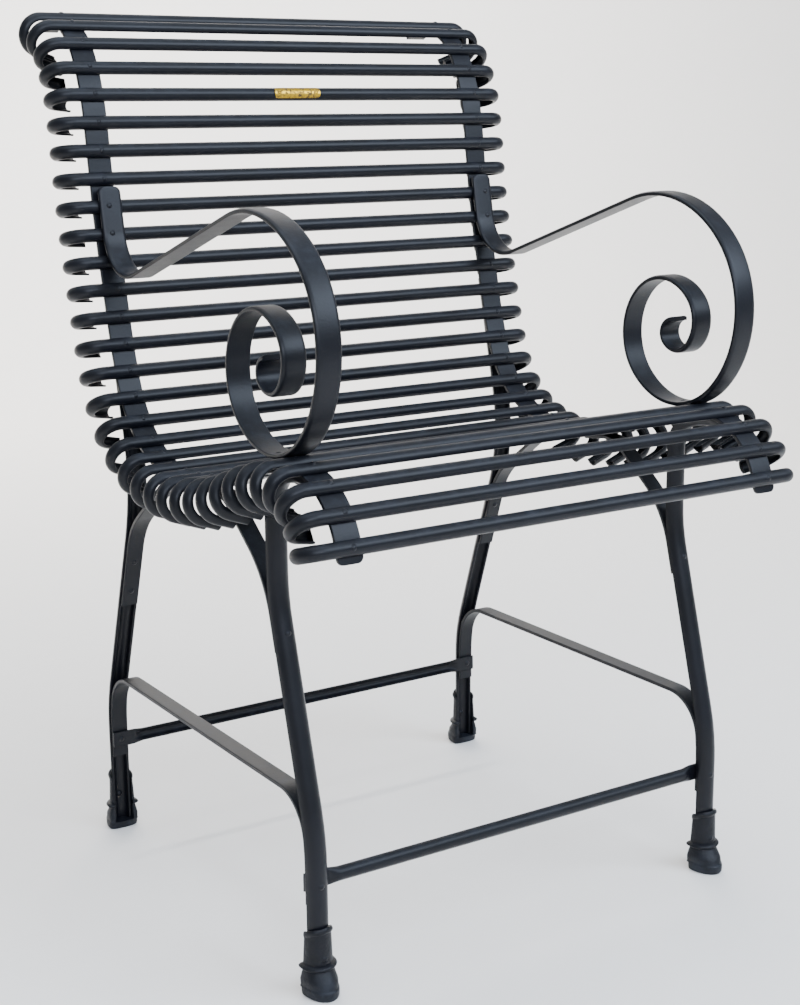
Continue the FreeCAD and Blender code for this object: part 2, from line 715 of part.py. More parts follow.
# The rear leg lies behind the straight of the back, then splays to the rear.
back_slats = (13, 14)
splay = size("rear_leg_splay")
rear_top = strap_track.at(slat_distance(back_slats[0]) - size("rear_leg_reach"))
rear_y, rear_z = aside(rear_top, -size("strap_thickness"))
rear_leg = Track(rear_y, rear_z, rear_top[2]).run(size("rear_leg_straight"))
rear_leg.arc(size("rear_leg_upper_radius"), 270 + splay - rear_top[2])
knee_drop = size("rear_leg_knee_radius") * math.sin(math.radians(splay))
splayed = rear_leg.end()[1] - knee_drop - size("rear_leg_knee_z")
rear_leg.run(splayed / math.cos(math.radians(splay)))
rear_leg.arc(size("rear_leg_knee_radius"), -splay)
rear_leg.run(size("rear_leg_knee_z") - size("foot_floor"))
rear_leg_y = rear_leg.end()[0]

# The side stretcher lies on the open sides of both legs and follows each knee until it bends away.
arch_outer = size("arch_radius") + size("flat_thickness")
arch_top = size("arch_z") + size("flat_thickness")


def arch_follow(knee_z, knee_radius):
    """Degrees that the stretcher keeps to a leg's knee so that its top comes out at arch_top."""
    return math.degrees(math.asin((arch_top - knee_z - arch_outer) / (knee_radius - arch_outer)))


front_follow = arch_follow(size("front_leg_knee_z"), size("front_leg_knee_radius"))
rear_follow = arch_follow(size("rear_leg_knee_z"), size("rear_leg_knee_radius"))
arch = Track(size("front_leg_y"), size("arch_end_z"), 90)
arch.run(size("front_leg_knee_z") - size("arch_end_z"))
arch.arc(size("front_leg_knee_radius"), -front_follow)
arch.arc(arch_outer, front_follow - 90)
arch_rear = Track(0, 0, 0).arc(arch_outer, rear_follow - 90)
arch_rear.arc(size("rear_leg_knee_radius"), -rear_follow)
arch.run(rear_leg_y - arch_rear.end()[0] - arch.end()[0])
arch.arc(arch_outer, rear_follow - 90)
arch.arc(size("rear_leg_knee_radius"), -rear_follow)
arch.run(size("rear_leg_knee_z") - size("arch_end_z"))


def brace_track(low, straight, radius, slat, sign):
    """From a run on a leg to a run under the strap. The sign is that of both bends' turns."""
    track = Track(*low).run(straight)
    y, z, heading = track.end()
    rivet_y, rivet_z = aside(slat_place(slat), -size("strap_thickness"))
    last = slat_place(slat)[2] - (180 if sign < 0 else 0)
    arrive = walk((rivet_y, rivet_z, last), -size("brace_reach"))
    second = size("brace_upper_radius")
    first_centre = aside((y, z, heading), -sign * radius)
    second_centre = aside(arrive, -sign * second)
    along_y = second_centre[0] - first_centre[0]
    along_z = second_centre[1] - first_centre[1]
    apart = math.hypot(along_y, along_z)
    tilt = math.asin(sign * (second - radius) / apart)
    middle = math.degrees(math.atan2(along_z, along_y) - tilt)
    track.arc(radius, middle - heading)
    track.run(apart * math.cos(tilt))
    track.arc(second, last - middle)
    track.run(2 * size("brace_reach"))
    return track


def track_at_height(track, z, rising):
    """The place where a track passes a height, with its heading looking up."""
    low, high = 0.0, track.length()
    for _ in range(60):
        middle = (low + high) / 2
        below = track.at(middle)[1] < z
        if below == rising:
            low = middle
        else:
            high = middle
    y, z, heading = track.at(low)
    return y, z, heading if rising else heading - 180


front_low = track_at_height(front_leg, size("front_brace_low_z"), True)
rear_low = track_at_height(rear_leg, size("rear_brace_low_z"), False)
front_slat = int(size("front_brace_slat"))
rear_slat = int(size("rear_brace_slat"))
braces = {
    "front": brace_track(front_low, size("front_brace_straight"), size("front_brace_radius"), front_slat, -1),
    "rear": brace_track(rear_low, size("rear_brace_straight"), size("rear_brace_radius"), rear_slat, 1)}

# Where each rivet's heads sit, measured from the strap's outer face along the slat's outward side.
strap_inner = -size("strap_thickness")
under_leg = strap_inner - size("leg_depth") + crown_drop(leg_crown)
under_brace = strap_inner - size("flat_thickness")
rivet_outer = {}
rivet_inner = {}
for number in range(1, slat_count + 1):
    rivet_outer[number] = size("slat_depth") - crown_drop(slat_crown) + seat_lift(number)
    rivet_inner[number] = strap_inner - face_rise(-1, number, head_radius)
arm_bite = size("arm_crown") / 4
for number in arm_slats:
    rivet_outer[number] = size("slat_depth") + seat_lift(number) + arm_thickness - arm_bite
for number in seat_slats:
    rivet_outer[number] = scroll_level(number)
for number in back_slats + leg_slats:
    rivet_inner[number] = under_leg
for number in (front_slat, rear_slat):
    rivet_inner[number] = under_brace
margin = size("rivet_head_height")


def through(numbers, low, high):
    """Hole cutters at some slats, between two levels."""
    return [hole_cutter(*slat_frame(number), low, high) for number in numbers]


def sunk(numbers, levels, side):
    """Seat cutters at some slats; the side is 1 for outer heads and -1 for inner ones."""
    cutters = []
    for number in numbers:
        point, normal = slat_frame(number)
        cutters.append(seat_cutter(point, normal * side, levels[number] * side))
    return cutters


def leg_rivet(place, aside_sign, outer, inner):
    """Point, outward direction and levels of a rivet on a leg, from the leg's open side."""
    y, z, heading = place
    normal = directions(heading)[1] * aside_sign
    return in_side_plane(y, z), normal, inner, outer


leg_outer = size("leg_depth") - crown_drop(leg_crown)
brace_inner = -size("flat_thickness")
stretcher_inner = brace_inner - size("cross_tab")
inner_crown = leg_crown - size("leg_wall")
cup_inner = size("leg_depth") - size("leg_wall") - crown_drop(inner_crown)
cup_outer = size("leg_depth") + size("foot_wall") + size("foot_nose") - crown_drop(leg_crown)
foot_rivet_z = (3 * size("foot_ring_z") + size("foot_height")) / 4


def brace_places(track, straight, count):
    """Evenly spaced places on a brace's run along its leg."""
    return [track.at(straight * (index + 0.5) / count) for index in range(count)]


front_brace_rivets = brace_places(braces["front"], size("front_brace_straight"), 1)
rear_brace_rivets = brace_places(braces["rear"], size("rear_brace_straight"), 2)
rivets_on_legs = {"front": [], "rear": []}
for place in front_brace_rivets:
    rivets_on_legs["front"].append(leg_rivet(place, -1, leg_outer, brace_inner))
for place in rear_brace_rivets:
    rivets_on_legs["rear"].append(leg_rivet(place, 1, leg_outer, brace_inner))
cross_places = {
    "front": (size("front_leg_y"), size("cross_z"), 90),
    "rear": (rear_leg_y, size("cross_z"), 90)}
foot_places = {
    "front": (size("front_leg_y"), foot_rivet_z, 90),
    "rear": (rear_leg_y, foot_rivet_z, 90)}
toe_sign = {"front": -1, "rear": 1}
stretcher_rivets = {}
foot_rivets = {}
for end, sign in toe_sign.items():
    stretcher_rivets[end] = leg_rivet(cross_places[end], sign, leg_outer, stretcher_inner)
    foot_rivets[end] = leg_rivet(foot_places[end], sign, cup_outer, cup_inner)


def draw_strap_section(sketch):
    draw_flat(sketch, "strap_width", "strap_thickness")


def draw_arm_section(sketch):
    draw_crowned(sketch, "arm_width", "arm_thickness", "arm_crown", "arm_shoulder")


def draw_leg_section(sketch):
    draw_channel(sketch, "leg_width", "leg_depth", "leg_wall")


def draw_brace_section(sketch):
    draw_flat(sketch, "flat_width", "flat_thickness")


def strap():
    bar = bent_bar("strap_bar_" + side, strap_track, draw_strap_section, True)
    cutters = through(range(1, slat_count + 1), strap_inner - margin, margin)
    cutters += corner_cutters(strap_track.end(), -1, size("strap_width") / 2, size("strap_corner"))
    return bored("strap_" + side, "strap_" + side, bar, cutters)


def armrest():
    bar = bent_bar("arm_bar_" + side, arm_track, draw_arm_section, True)
    numbers = arm_slats + seat_slats
    cutters = through(numbers, size("slat_depth") - margin, size("slat_depth") + 2 * arm_thickness)
    cutters += sunk(numbers, rivet_outer, 1)
    for cutter in cutters:
        cutter.translate(Vector(sign * (size("side_x") - size("arm_x")), 0, 0))
    cutters += corner_cutters((*tab_face, tab_heading), 1, size("arm_width") / 2, size("arm_tab_corner"))
    return bored("armrest_" + side, "armrest_" + side, bar, cutters)


def leg(end):
    track, slats = (front_leg, leg_slats) if end == "front" else (rear_leg, back_slats)
    name = end + "_leg_" + side
    bar = bent_bar(name + "_bar", track, draw_leg_section, False)
    cutters = through(slats, under_leg - margin, strap_inner + margin)
    cutters += sunk(slats, rivet_inner, -1)
    for point, normal, low, high in rivets_on_legs[end] + [stretcher_rivets[end], foot_rivets[end]]:
        cutters.append(hole_cutter(point, normal, -margin, high + margin))
    for point, normal, low, high in rivets_on_legs[end] + [stretcher_rivets[end]]:
        cutters.append(seat_cutter(point, normal, high))
    return bored(name, name, bar, cutters)


def brace(end):
    name = end + "_brace_" + side
    on_right = end == "rear"
    bar = bent_bar(name + "_bar", braces[end], draw_brace_section, on_right)
    slat = front_slat if end == "front" else rear_slat
    cutters = through([slat], under_brace - margin, strap_inner + margin)
    for point, normal, low, high in rivets_on_legs[end]:
        cutters.append(hole_cutter(point, normal, low - margin, margin))
    return bored(name, name, bar, cutters)


def side_stretcher():
    name = "side_stretcher_" + side
    bar = bent_bar(name + "_bar", arch, draw_brace_section, False)
    cutters = []
    for point, normal, low, high in stretcher_rivets.values():
        cutters.append(hole_cutter(point, normal, low - margin, margin))
    return bored(name, name, bar, cutters)


for side, sign in SIDES:
    x = sign * size("side_x")
    keep(strap(), "strap_" + side, x)
    keep(armrest(), "armrest_" + side, sign * size("arm_x"))
    keep(side_stretcher(), "side_stretcher_" + side, x)
    for end in ("front", "rear"):
        keep(leg(end), end + "_leg_" + side, x)
        keep(brace(end), end + "_brace_" + side, x)


def draw_half_round(sketch, half, flank, low=0.0):
    """A closed outline: a half circle on the +y side of a block that starts at low."""
    circle = Part.Circle(Vector(0, flank, 0), Vector(0, 0, 1), half)
    corners = [Vector(-half, flank, 0), Vector(-half, low, 0), Vector(half, low, 0), Vector(half, flank, 0)]
    sketch.addGeometry(Part.ArcOfCircle(circle, 0, math.pi), False)
    for index in range(3):
        sketch.addGeometry(Part.LineSegment(corners[index], corners[index + 1]), False)


def draw_polygon(sketch, corners):
    points = [Vector(x, y, 0) for x, y in corners]
    for index, point in enumerate(points):
        sketch.addGeometry(Part.LineSegment(point, points[(index + 1) % len(points)]), False)


def draw_rounded(sketch, half_x, half_y, corner):
    """A rectangle with rounded corners round the origin."""
    inner_x = half_x - corner
    inner_y = half_y - corner
    for index, (sign_x, sign_y) in enumerate(((1, 1), (-1, 1), (-1, -1), (1, -1))):
        circle = Part.Circle(Vector(sign_x * inner_x, sign_y * inner_y, 0), Vector(0, 0, 1), corner)
        start = index * math.pi / 2
        sketch.addGeometry(Part.ArcOfCircle(circle, start, start + math.pi / 2), False)
    draw = Part.LineSegment
    sketch.addGeometry([
        draw(Vector(inner_x, half_y, 0), Vector(-inner_x, half_y, 0)),
        draw(Vector(-half_x, inner_y, 0), Vector(-half_x, -inner_y, 0)),
        draw(Vector(-inner_x, -half_y, 0), Vector(inner_x, -half_y, 0)),
        draw(Vector(half_x, -inner_y, 0), Vector(half_x, inner_y, 0))], False)


def extrude(body, kind, sketch, length, formula=None, **settings):
    """A Pad or a Pocket of a sketch, bound to a formula of the sheet where one is given."""
    feature = body.newObject("PartDesign::" + kind, sketch.Name + "_" + kind.lower())
    feature.Profile = sketch
    for name, value in settings.items():
        setattr(feature, name, value)
    feature.Length = length
    if formula:
        feature.setExpression("Length", formula)
    body.Tip = feature
    doc.recompute()
    return feature


def cross_stretcher(end):
    """A channel between two legs, squeezed flat at its ends, which lie on the side stretchers."""
    name = end + "_cross_stretcher"
    toe = Vector(0, toe_sign[end], 0)
    leg_y = cross_places[end][0]
    open_y = leg_y - toe.y * (size("flat_thickness") + size("cross_tab"))
    half = size("side_x") - leg_crown - size("cross_gap")
    squeeze = size("cross_squeeze")
    half_formula = "2 * (Sizes.side_x - Sizes.leg_width / 2 - Sizes.cross_gap)"
    body = new_body(name + "_bar")
    middle = Vector(0, open_y, size("cross_z"))
    across = axes(middle, Vector(1, 0, 0), toe)
    along = axes(middle, toe, Vector(1, 0, 0))
    above = axes(middle, Vector(0, 0, toe.y), toe)
    outline = new_sketch(body, name + "_outline", "XY_Plane", across)
    draw_half_round(outline, slat_crown, slat_flank)
    extrude(body, "Pad", outline, 2 * half, half_formula, Midplane=True)
    hollow = new_sketch(body, name + "_hollow", "XY_Plane", across)
    inner = slat_crown - size("slat_wall")
    draw_half_round(hollow, inner, slat_flank, -margin)
    hollow_formula = half_formula + " - 2 * Sizes.cross_squeeze"
    extrude(body, "Pocket", hollow, 2 * (half - squeeze), hollow_formula, Midplane=True)
    slope = new_sketch(body, name + "_slope", "XY_Plane", above)
    for tab_sign in (-1, 1):
        draw_polygon(slope, [(tab_sign * (half - squeeze), size("slat_depth")),
                             (tab_sign * half, size("cross_tab")),
                             (tab_sign * (half + squeeze), size("cross_tab")),
                             (tab_sign * (half + squeeze), size("slat_depth"))])
    extrude(body, "Pocket", slope, 4 * slat_crown, "2 * Sizes.slat_width", Midplane=True)
    tabs = new_sketch(body, name + "_tabs", "XY_Plane", along)
    outer = size("side_x") + size("flat_width") / 2
    high = size("cross_tab_height") / 2
    for tab_sign in (-1, 1):
        inner = tab_sign * (half - squeeze)
        neck = tab_sign * half
        tip = tab_sign * outer
        draw_polygon(tabs, [(-slat_crown, inner), (slat_crown, inner), (high, neck), (high, tip),
                            (-high, tip), (-high, neck)])
    extrude(body, "Pad", tabs, size("cross_tab"), cell("cross_tab"))
    point, normal, low, high = stretcher_rivets[end]
    cutters = []
    for side, sign in SIDES:
        place = point + Vector(sign * size("side_x"), 0, 0)
        cutters.append(hole_cutter(place, normal, low - margin, brace_inner + margin))
    return bored(name, name, body, cutters)


for end in ("front", "rear"):
    keep(cross_stretcher(end), end + "_cross_stretcher")


OUTLINE_STEPS = 32
CUP_SQUARENESS = 0.5
HOOF_SQUARENESS = 0.8


def draw_cup(sketch, grow, toe, slant, squareness):
    """The foot's outline at one level: a half ellipse before the leg's crown and a square back
    with soft corners. It grows past the cup's sides and back, and by the toe past its nose."""
    stretch = 1 / math.cos(math.radians(slant))
    half = leg_crown + size("foot_wall") + grow
    flank = size("leg_depth") - leg_crown
    front = leg_crown + size("foot_wall") + size("foot_nose") + toe
    behind = flank + size("foot_wall") + grow
    points = []
    for step in range(OUTLINE_STEPS):
        angle = 2 * math.pi * step / OUTLINE_STEPS
        across, ahead = math.cos(angle), math.sin(angle)
        if ahead < 0:
            across = math.copysign(abs(across) ** squareness, across)
            ahead = -abs(ahead) ** squareness
        reach = front if ahead >= 0 else behind
        points.append(Vector(half * across, (flank + reach * ahead) * stretch, 0))
    outline = Part.BSplineCurve()
    outline.interpolate(points, PeriodicFlag=True)
    sketch.addGeometry(outline, False)


# The hoof from the sole to the ring: height, sole's growth and toe's growth, as shares of the whole.
HOOF = ((0, 0.45, 0.82), (0.08, 0.8, 0.95), (0.3, 1, 1), (0.6, 0.95, 0.72), (0.85, 0.6, 0.3), (1, 0.35, 0.08))
ROLL_STEPS = 6


def foot(end):
    """A cast cup round the leg's end with a slanted rim, a ring and a hoof below it."""
    name = end + "_foot_" + side
    body = new_body(name + "_cast")
    half_ring = size("foot_ring_height") / 2
    half_rim = size("foot_rim_height") / 2
    hoof_top = size("foot_ring_z") - half_ring
    rim_z = size("foot_height") - half_rim
    levels = []
    for high, wide, long in HOOF:
        grow = size("hoof_side") * wide
        levels.append((hoof_top * high, grow, size("hoof_toe") * long, 0, HOOF_SQUARENESS))
    for step in range(1, ROLL_STEPS + 1):
        angle = math.pi * step / ROLL_STEPS
        swell = size("foot_ring_flare") * math.sin(angle)
        level = size("foot_ring_z") - half_ring * math.cos(angle)
        levels.append((level, swell, swell, 0, CUP_SQUARENESS))
    for step in range(ROLL_STEPS + 1):
        angle = math.pi * step / ROLL_STEPS
        swell = size("foot_rim_flare") * math.sin(angle)
        level = rim_z - half_rim * math.cos(angle)
        levels.append((level, swell, swell, size("foot_rim_slant"), CUP_SQUARENESS))
    sections = []
    for index, (z, grow, toe, slant, squareness) in enumerate(levels):
        turned = FreeCAD.Rotation(Vector(1, 0, 0), slant)
        place = FreeCAD.Placement(Vector(0, 0, z), turned)
        section = new_sketch(body, "%s_level_%d" % (name, index), "XY_Plane", place)
        draw_cup(section, grow, toe, slant, squareness)
        sections.append(section)
    doc.recompute()
    solid = body.newObject("PartDesign::AdditiveLoft", name + "_loft")
    solid.Profile = sections[0]
    solid.Sections = sections[1:]
    solid.Ruled = True
    body.Tip = solid
    doc.recompute()

    play = size("foot_play")
    floor = FreeCAD.Placement(Vector(0, 0, size("foot_floor")), FreeCAD.Rotation())
    socket = new_sketch(body, name + "_socket", "XY_Plane", floor)
    draw_half_round(socket, leg_crown + play, size("leg_depth") - leg_crown, -play)
    window = new_sketch(body, name + "_window", "XY_Plane", floor)
    wide = size("foot_window") / 2
    behind = -2 * leg_crown
    draw_polygon(window, [(-wide, 0), (-wide, behind), (wide, behind), (wide, 0)])
    doc.recompute()
    for opening in (socket, window):
        extrude(body, "Pocket", opening, 2 * size("foot_height"), "2 * Sizes.foot_height", Reversed=True)
    point = Vector(0, 0, foot_rivet_z)
    normal = Vector(0, 1, 0)
    cutters = [hole_cutter(point, normal, 0, cup_outer + margin), seat_cutter(point, normal, cup_outer)]
    return bored(name, name, body, cutters)


for side, sign in SIDES:
    for end in ("front", "rear"):
        cast = foot(end)
        turn = 180 if end == "front" else 0
        y = foot_places[end][0]
        middle = Vector(sign * size("side_x"), y, 0)
        cast.Placement = FreeCAD.Placement(middle, FreeCAD.Rotation(Vector(0, 0, 1), turn))
        PIECES.append(cast)


def rivet_group(label, solids):
    group = doc.addObject("Part::Feature", label)
    group.Shape = Part.makeCompound(solids)
    group.Label = label
    PIECES.append(group)


def slat_rivet(number, x):
    point, normal = slat_frame(number)
    return rivet_solid(point + Vector(x, 0, 0), normal, rivet_inner[number], rivet_outer[number])


arm_numbers = set(arm_slats + seat_slats)
frame_numbers = set(back_slats + leg_slats + (front_slat, rear_slat)) - arm_numbers
arm_group = []
frame_group = []
foot_group = []
for side, sign in SIDES:
    x = sign * size("side_x")
    plain = [n for n in range(1, slat_count + 1) if n not in arm_numbers and n not in frame_numbers]
    rivet_group("slat_rivets_" + side, [slat_rivet(number, x) for number in plain])
    arm_group += [slat_rivet(number, x) for number in sorted(arm_numbers)]
    frame_group += [slat_rivet(number, x) for number in sorted(frame_numbers)]
    for end in ("front", "rear"):
        for point, normal, low, high in rivets_on_legs[end] + [stretcher_rivets[end]]:
            frame_group.append(rivet_solid(point + Vector(x, 0, 0), normal, low, high))
        point, normal, low, high = foot_rivets[end]
        foot_group.append(rivet_solid(point + Vector(x, 0, 0), normal, low, high))
rivet_group("arm_rivets", arm_group)
rivet_group("frame_rivets", frame_group)
rivet_group("foot_rivets", foot_group)

# The bare name plate, riveted to the crown of one slat.
plate_slat = int(size("plate_slat"))
plate_outer = slat_crown + size("plate_thickness")
plate_head = size("plate_head_radius")
plate_drop = plate_outer - math.sqrt(plate_outer ** 2 - plate_head ** 2)
plate_hollow = slat_crown - size("slat_wall")
plate_high = size("slat_depth") + size("plate_thickness") - plate_drop
plate_low = slat_flank + math.sqrt(plate_hollow ** 2 - plate_head ** 2)
plate_hole = size("plate_rivet_radius") + size("rivet_play")
plate_face, plate_normal = slat_frame(plate_slat)
plate_point = plate_face + plate_normal * seat_lift(plate_slat)
across = Vector(1, 0, 0)
plate_places = [plate_point + across * (sign * size("plate_rivets_apart") / 2) for _, sign in SIDES]


def name_plate():
    """The band between the slat's crown and a larger circle, cut out of a round-cornered block."""
    body = new_body("name_plate_blank")
    half_arc = math.radians(size("plate_arc") / 2)
    half_high = plate_outer * math.sin(half_arc)
    outline = new_sketch(body, "name_plate_outline", "XY_Plane", axes(plate_point, plate_normal, across))
    draw_rounded(outline, half_high, size("plate_length") / 2, size("plate_corner"))
    doc.recompute()
    extrude(body, "Pad", outline, 2 * plate_outer)
    band = new_sketch(body, "name_plate_band", "XY_Plane", axes(plate_point, across, plate_normal))
    centre = Vector(0, slat_flank, 0)
    first, last = math.pi / 2 - half_arc, math.pi / 2 + half_arc

    def on_arc(radius, angle):
        return centre + Vector(radius * math.cos(angle), radius * math.sin(angle), 0)

    band.addGeometry([
        Part.ArcOfCircle(Part.Circle(centre, Vector(0, 0, 1), plate_outer), first, last),
        Part.LineSegment(on_arc(plate_outer, last), on_arc(slat_crown, last)),
        Part.ArcOfCircle(Part.Circle(centre, Vector(0, 0, 1), slat_crown), first, last),
        Part.LineSegment(on_arc(slat_crown, first), on_arc(plate_outer, first))], False)
    wide = 2 * plate_outer
    draw_polygon(band, [(-wide, -wide), (wide, -wide), (wide, 2 * wide), (-wide, 2 * wide)])
    doc.recompute()
    extrude(body, "Pocket", band, 2 * size("plate_length"), "2 * Sizes.plate_length", Midplane=True)
    return body


plate_cutters = []
plate_group = []
for place in plate_places:
    depth = plate_high - plate_low + 2 * margin
    base = place + plate_normal * (plate_low - margin)
    plate_cutters.append(Part.makeCylinder(plate_hole, depth, base, plate_normal))
    top = place + plate_normal * plate_high
    plate_cutters.append(Part.makeCylinder(plate_head + size("rivet_play"), margin, top, plate_normal))
    plate_group.append(rivet_solid(place, plate_normal, plate_low, plate_high,
                                   size("plate_rivet_radius"), plate_head, size("plate_head_height")))
keep(bored("name_plate", "name_plate", name_plate(), plate_cutters), "name_plate")
carrier = PIECES[plate_slat - 1]
carrier.Label = carrier.Label + "_undrilled"
PIECES[plate_slat - 1] = bored("plate_slat", "slat_%02d" % plate_slat, carrier, plate_cutters)
rivet_group("plate_rivets", plate_group)

# The origin goes to the floor under the middle of the whole chair.
doc.recompute()
boxes = [piece.Shape.optimalBoundingBox() for piece in PIECES]
middle_y = (min(box.YMin for box in boxes) + max(box.YMax for box in boxes)) / 2
for piece in PIECES:
    piece.Placement.Base.y -= middle_y

doc.recompute()
broken = [thing.Name for thing in doc.Objects if "Invalid" in thing.State or "Error" in thing.State]
if broken:
    raise RuntimeError("failed: " + ", ".join(broken))
for piece in PIECES:
    if piece.Shape.isNull() or not piece.Shape.isValid():
        raise RuntimeError("bad shape: " + piece.Label)

os.makedirs("parts", exist_ok=True)
for piece in PIECES:
    piece.Shape.exportStep("parts/%s.step" % piece.Label)
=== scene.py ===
import bpy
import math
import numpy as np
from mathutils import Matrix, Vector


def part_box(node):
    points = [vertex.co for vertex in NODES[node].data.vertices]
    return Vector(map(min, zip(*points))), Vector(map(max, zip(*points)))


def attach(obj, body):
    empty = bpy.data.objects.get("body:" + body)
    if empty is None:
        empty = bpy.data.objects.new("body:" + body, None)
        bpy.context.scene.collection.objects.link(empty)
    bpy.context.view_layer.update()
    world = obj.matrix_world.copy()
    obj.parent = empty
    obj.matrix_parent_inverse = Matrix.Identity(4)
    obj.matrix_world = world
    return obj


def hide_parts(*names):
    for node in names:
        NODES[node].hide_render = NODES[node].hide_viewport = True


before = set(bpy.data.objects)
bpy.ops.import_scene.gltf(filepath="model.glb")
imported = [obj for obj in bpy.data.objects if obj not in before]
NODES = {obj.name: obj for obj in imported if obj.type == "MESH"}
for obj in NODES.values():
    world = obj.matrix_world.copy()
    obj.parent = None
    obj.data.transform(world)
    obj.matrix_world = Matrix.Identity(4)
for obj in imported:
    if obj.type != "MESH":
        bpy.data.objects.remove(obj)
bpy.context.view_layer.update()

bl_info = {
    "name": "Garden armchair",
    "version": (1, 0, 0),
    "blender": (4, 5, 0),
    "location": "View3D > Sidebar > Chair",
    "description": "Finishes of a riveted garden armchair, its stage and its camera",
    "category": "Object",
}

MM = 0.001

# The bars' lines in the chair's side view, in millimetres and degrees. Each starts at a y, a z and a
# heading, which is 0 towards +y and 90 upwards, and goes on in runs of a length and a turn to the left.
STRAP = ((309.80, 870.80, 155.0),
         ((115, 84), (57, 20), (51, 5), (97, -7), (75, 0), (55, -8), (103, -51), (62, -19), (142, -20.2),
          (5, 0), (73, 11.5), (115, 85.5), (11, 0)))
ARMREST = ((166.28, 710.52, 259.55),
           ((45.68, 0), (81.64, -97.45), (217.53, 0), (140.52, 62.9), (168.08, 90), (132.73, 90),
            (98.96, 90), (89.54, 90), (58.12, 90), (40.84, 90), (37.44, 130)))
FRONT_LEG = ((-232.20, 8, 90.0),
             ((112, 0), (54.11, -15.5), (169.74, 0), (47.34, 15.5), (61.58, 0), (47.67, 78.04),
              (14.21, 2.26), (34.89, 27.36)))
REAR_LEG = ((158.34, 592.10, 257.0), ((129, 0), (118.02, 32.2), (187.94, 0), (53.62, -19.2), (112, 0)))
SIDE_STRETCHER = ((-232.20, 86, 90.0),
                  ((34, 0), (27.36, -7.84), (65.96, -82.16), (343.13, 0), (63.73, -79.38),
                   (29.64, -10.62), (34, 0)))
FRONT_BRACE = ((-186.50, 312, 74.5), ((32, 0), (71.46, -37.22), (49.77, 0), (35.70, -45.45), (28, 0)))
REAR_BRACE = ((162.82, 272, 109.2), ((72, 0), (48.27, 34.57), (79.65, 0), (29.11, 37.07), (28, 0)))

# The slats: half the straight part, the hook's radius, turn, straight end and steps, and the slats'
# places along the strap.
SLAT_HALF = 257
HOOK_RADIUS = 15
HOOK_TURN = 160
HOOK_TAIL = 18
HOOK_FINE = math.radians(8)
FIRST_SLAT = 45
SLAT_PITCH = 28.2

# The cross stretchers: their height, the y of each one's open side with the way of its crown, where the
# squeezed part and the whole end, half the tab's height with its thickness, the power of its outline,
# and its closed seam: the share of the channel's width, and the gap as a share of an edge's radius.
CROSS_Z = 106
CROSS_OPEN_SIDES = {"front": (-225.2, -1), "rear": (199.4, 1)}
CROSS_HALF = 220.5
CROSS_TIP = 243
CROSS_SQUEEZE = 14
CROSS_TAB = (8.5, 3.0)
TAB_POWER = 5
TAB_SEAM_HALF = 0.9
TAB_SEAM_GAP = 0.1

# The rounding of edges: points of an arc, how far from the corner the flats begin in radii, and the
# armrests' rounder edge in radii of the others'.
EDGE_POINTS = 4
FLAT_START = 1.9
ARM_EDGE = 1.6

# The cast feet in millimetres: the open side of each leg with the toe's way, the middle of the leg's
# round crown, the cup's half width, front, back and taper, and the socket's radius.
FEET = {"front": (-232.20, -1), "rear": (206.32, 1)}
CROWN = 0.5
CUP_SIDE = 12.7
CUP_FRONT = 13.5
CUP_BACK = 2.7
CUP_TAPER = 1.2
SOCKET = 10.8

# The hoof: heights, and the shares of its greatest growth at its sides and its toe.
HOOF_LEVELS = (0.0, 0.25, 0.8, 1.8, 3.5, 7.8, 8.8, 9.6, 11.0, 15.2, 21.5, 25.25, 30.8)
HOOF_SIDE = (0.45, 0.66, 0.82, 0.92, 0.98, 1.0, 0.96, 0.86, 0.9, 0.95, 0.6, 0.35, 0.0)
HOOF_TOE = (0.82, 0.88, 0.93, 0.97, 1.0, 0.99, 0.95, 0.88, 0.84, 0.72, 0.3, 0.08, 0.0)
HOOF_SIDE_GROWTH = 4.0
HOOF_TOE_GROWTH = 13.0
HOOF_BACK_POWER = 0.8
SOLE_LEVELS = (0.0, 0.25, 0.8, 1.8, 3.0, 4.2, 5.4, 6.2, 6.8, 8.0)
HOOF_TOP_LEVELS = (8.0, 8.4, 8.8, 9.2, 9.6, 10.3, 11.0, 13.0, 15.2, 17.3, 19.4, 21.5, 23.4)

# The ring and the rim: heights from and to, growth, the power of the ring's half sine, the rim's share
# of growth at its back, its slant in degrees, its waves out and up, and its inner edge's chamfer.
RING = (25.25, 30.75)
RING_GROWTH = 3.6
RING_POWER = 0.7
RIM = (55.6, 61.6)
RIM_GROWTH = 1.2
RIM_BACK_SHARE = 0.35
RIM_SLANT = 22
RIM_ROUGHNESS = 0.25
RIM_RIPPLE = 0.35
RIM_CHAMFER = 0.8

# The waves of the hand-finished rim: how often round the leg, the start and the share of each.
WAVES = ((3, 0.6, 1.0), (7, 2.0, 0.6))

# A lip beside the cup's opening: its places, and how they move when the sides and the toe grow.
LIP = ((-CUP_SIDE, -1.2, -1, -0.4, 0, 0), (-CUP_SIDE + 0.25, -1.9, -0.9, -0.7, 0, 0),
       (-CUP_SIDE + 0.8, -2.25, -0.7, -0.85, 0, 0), (-SOCKET - 0.5, -2.2, -0.1, -0.9, 0, 0),
       (-SOCKET, -1.8, 0, -0.9, 0, 0))

# The paint's specular level, where 0.5 is common gloss paint.
PAINT_GLOSS = 0.24

# The studio: the floor's half width, its straight run behind the chair, the bend's radius and the
# wall's height in metres, the sky's colour and strength, the camera's sensor in millimetres, and the
# point that the lights look at.
FLOOR_HALF = 6.0
FLOOR_BEHIND = 2.5
FLOOR_BEND = 1.5
WALL_HEIGHT = 6.0
SKY_COLOUR = (0.86, 0.93, 1.0, 1.0)
SKY_STRENGTH = 0.6
SENSOR_WIDTH = 36.0
CHAIR_MIDDLE = (0.0, 0.0, 0.45)
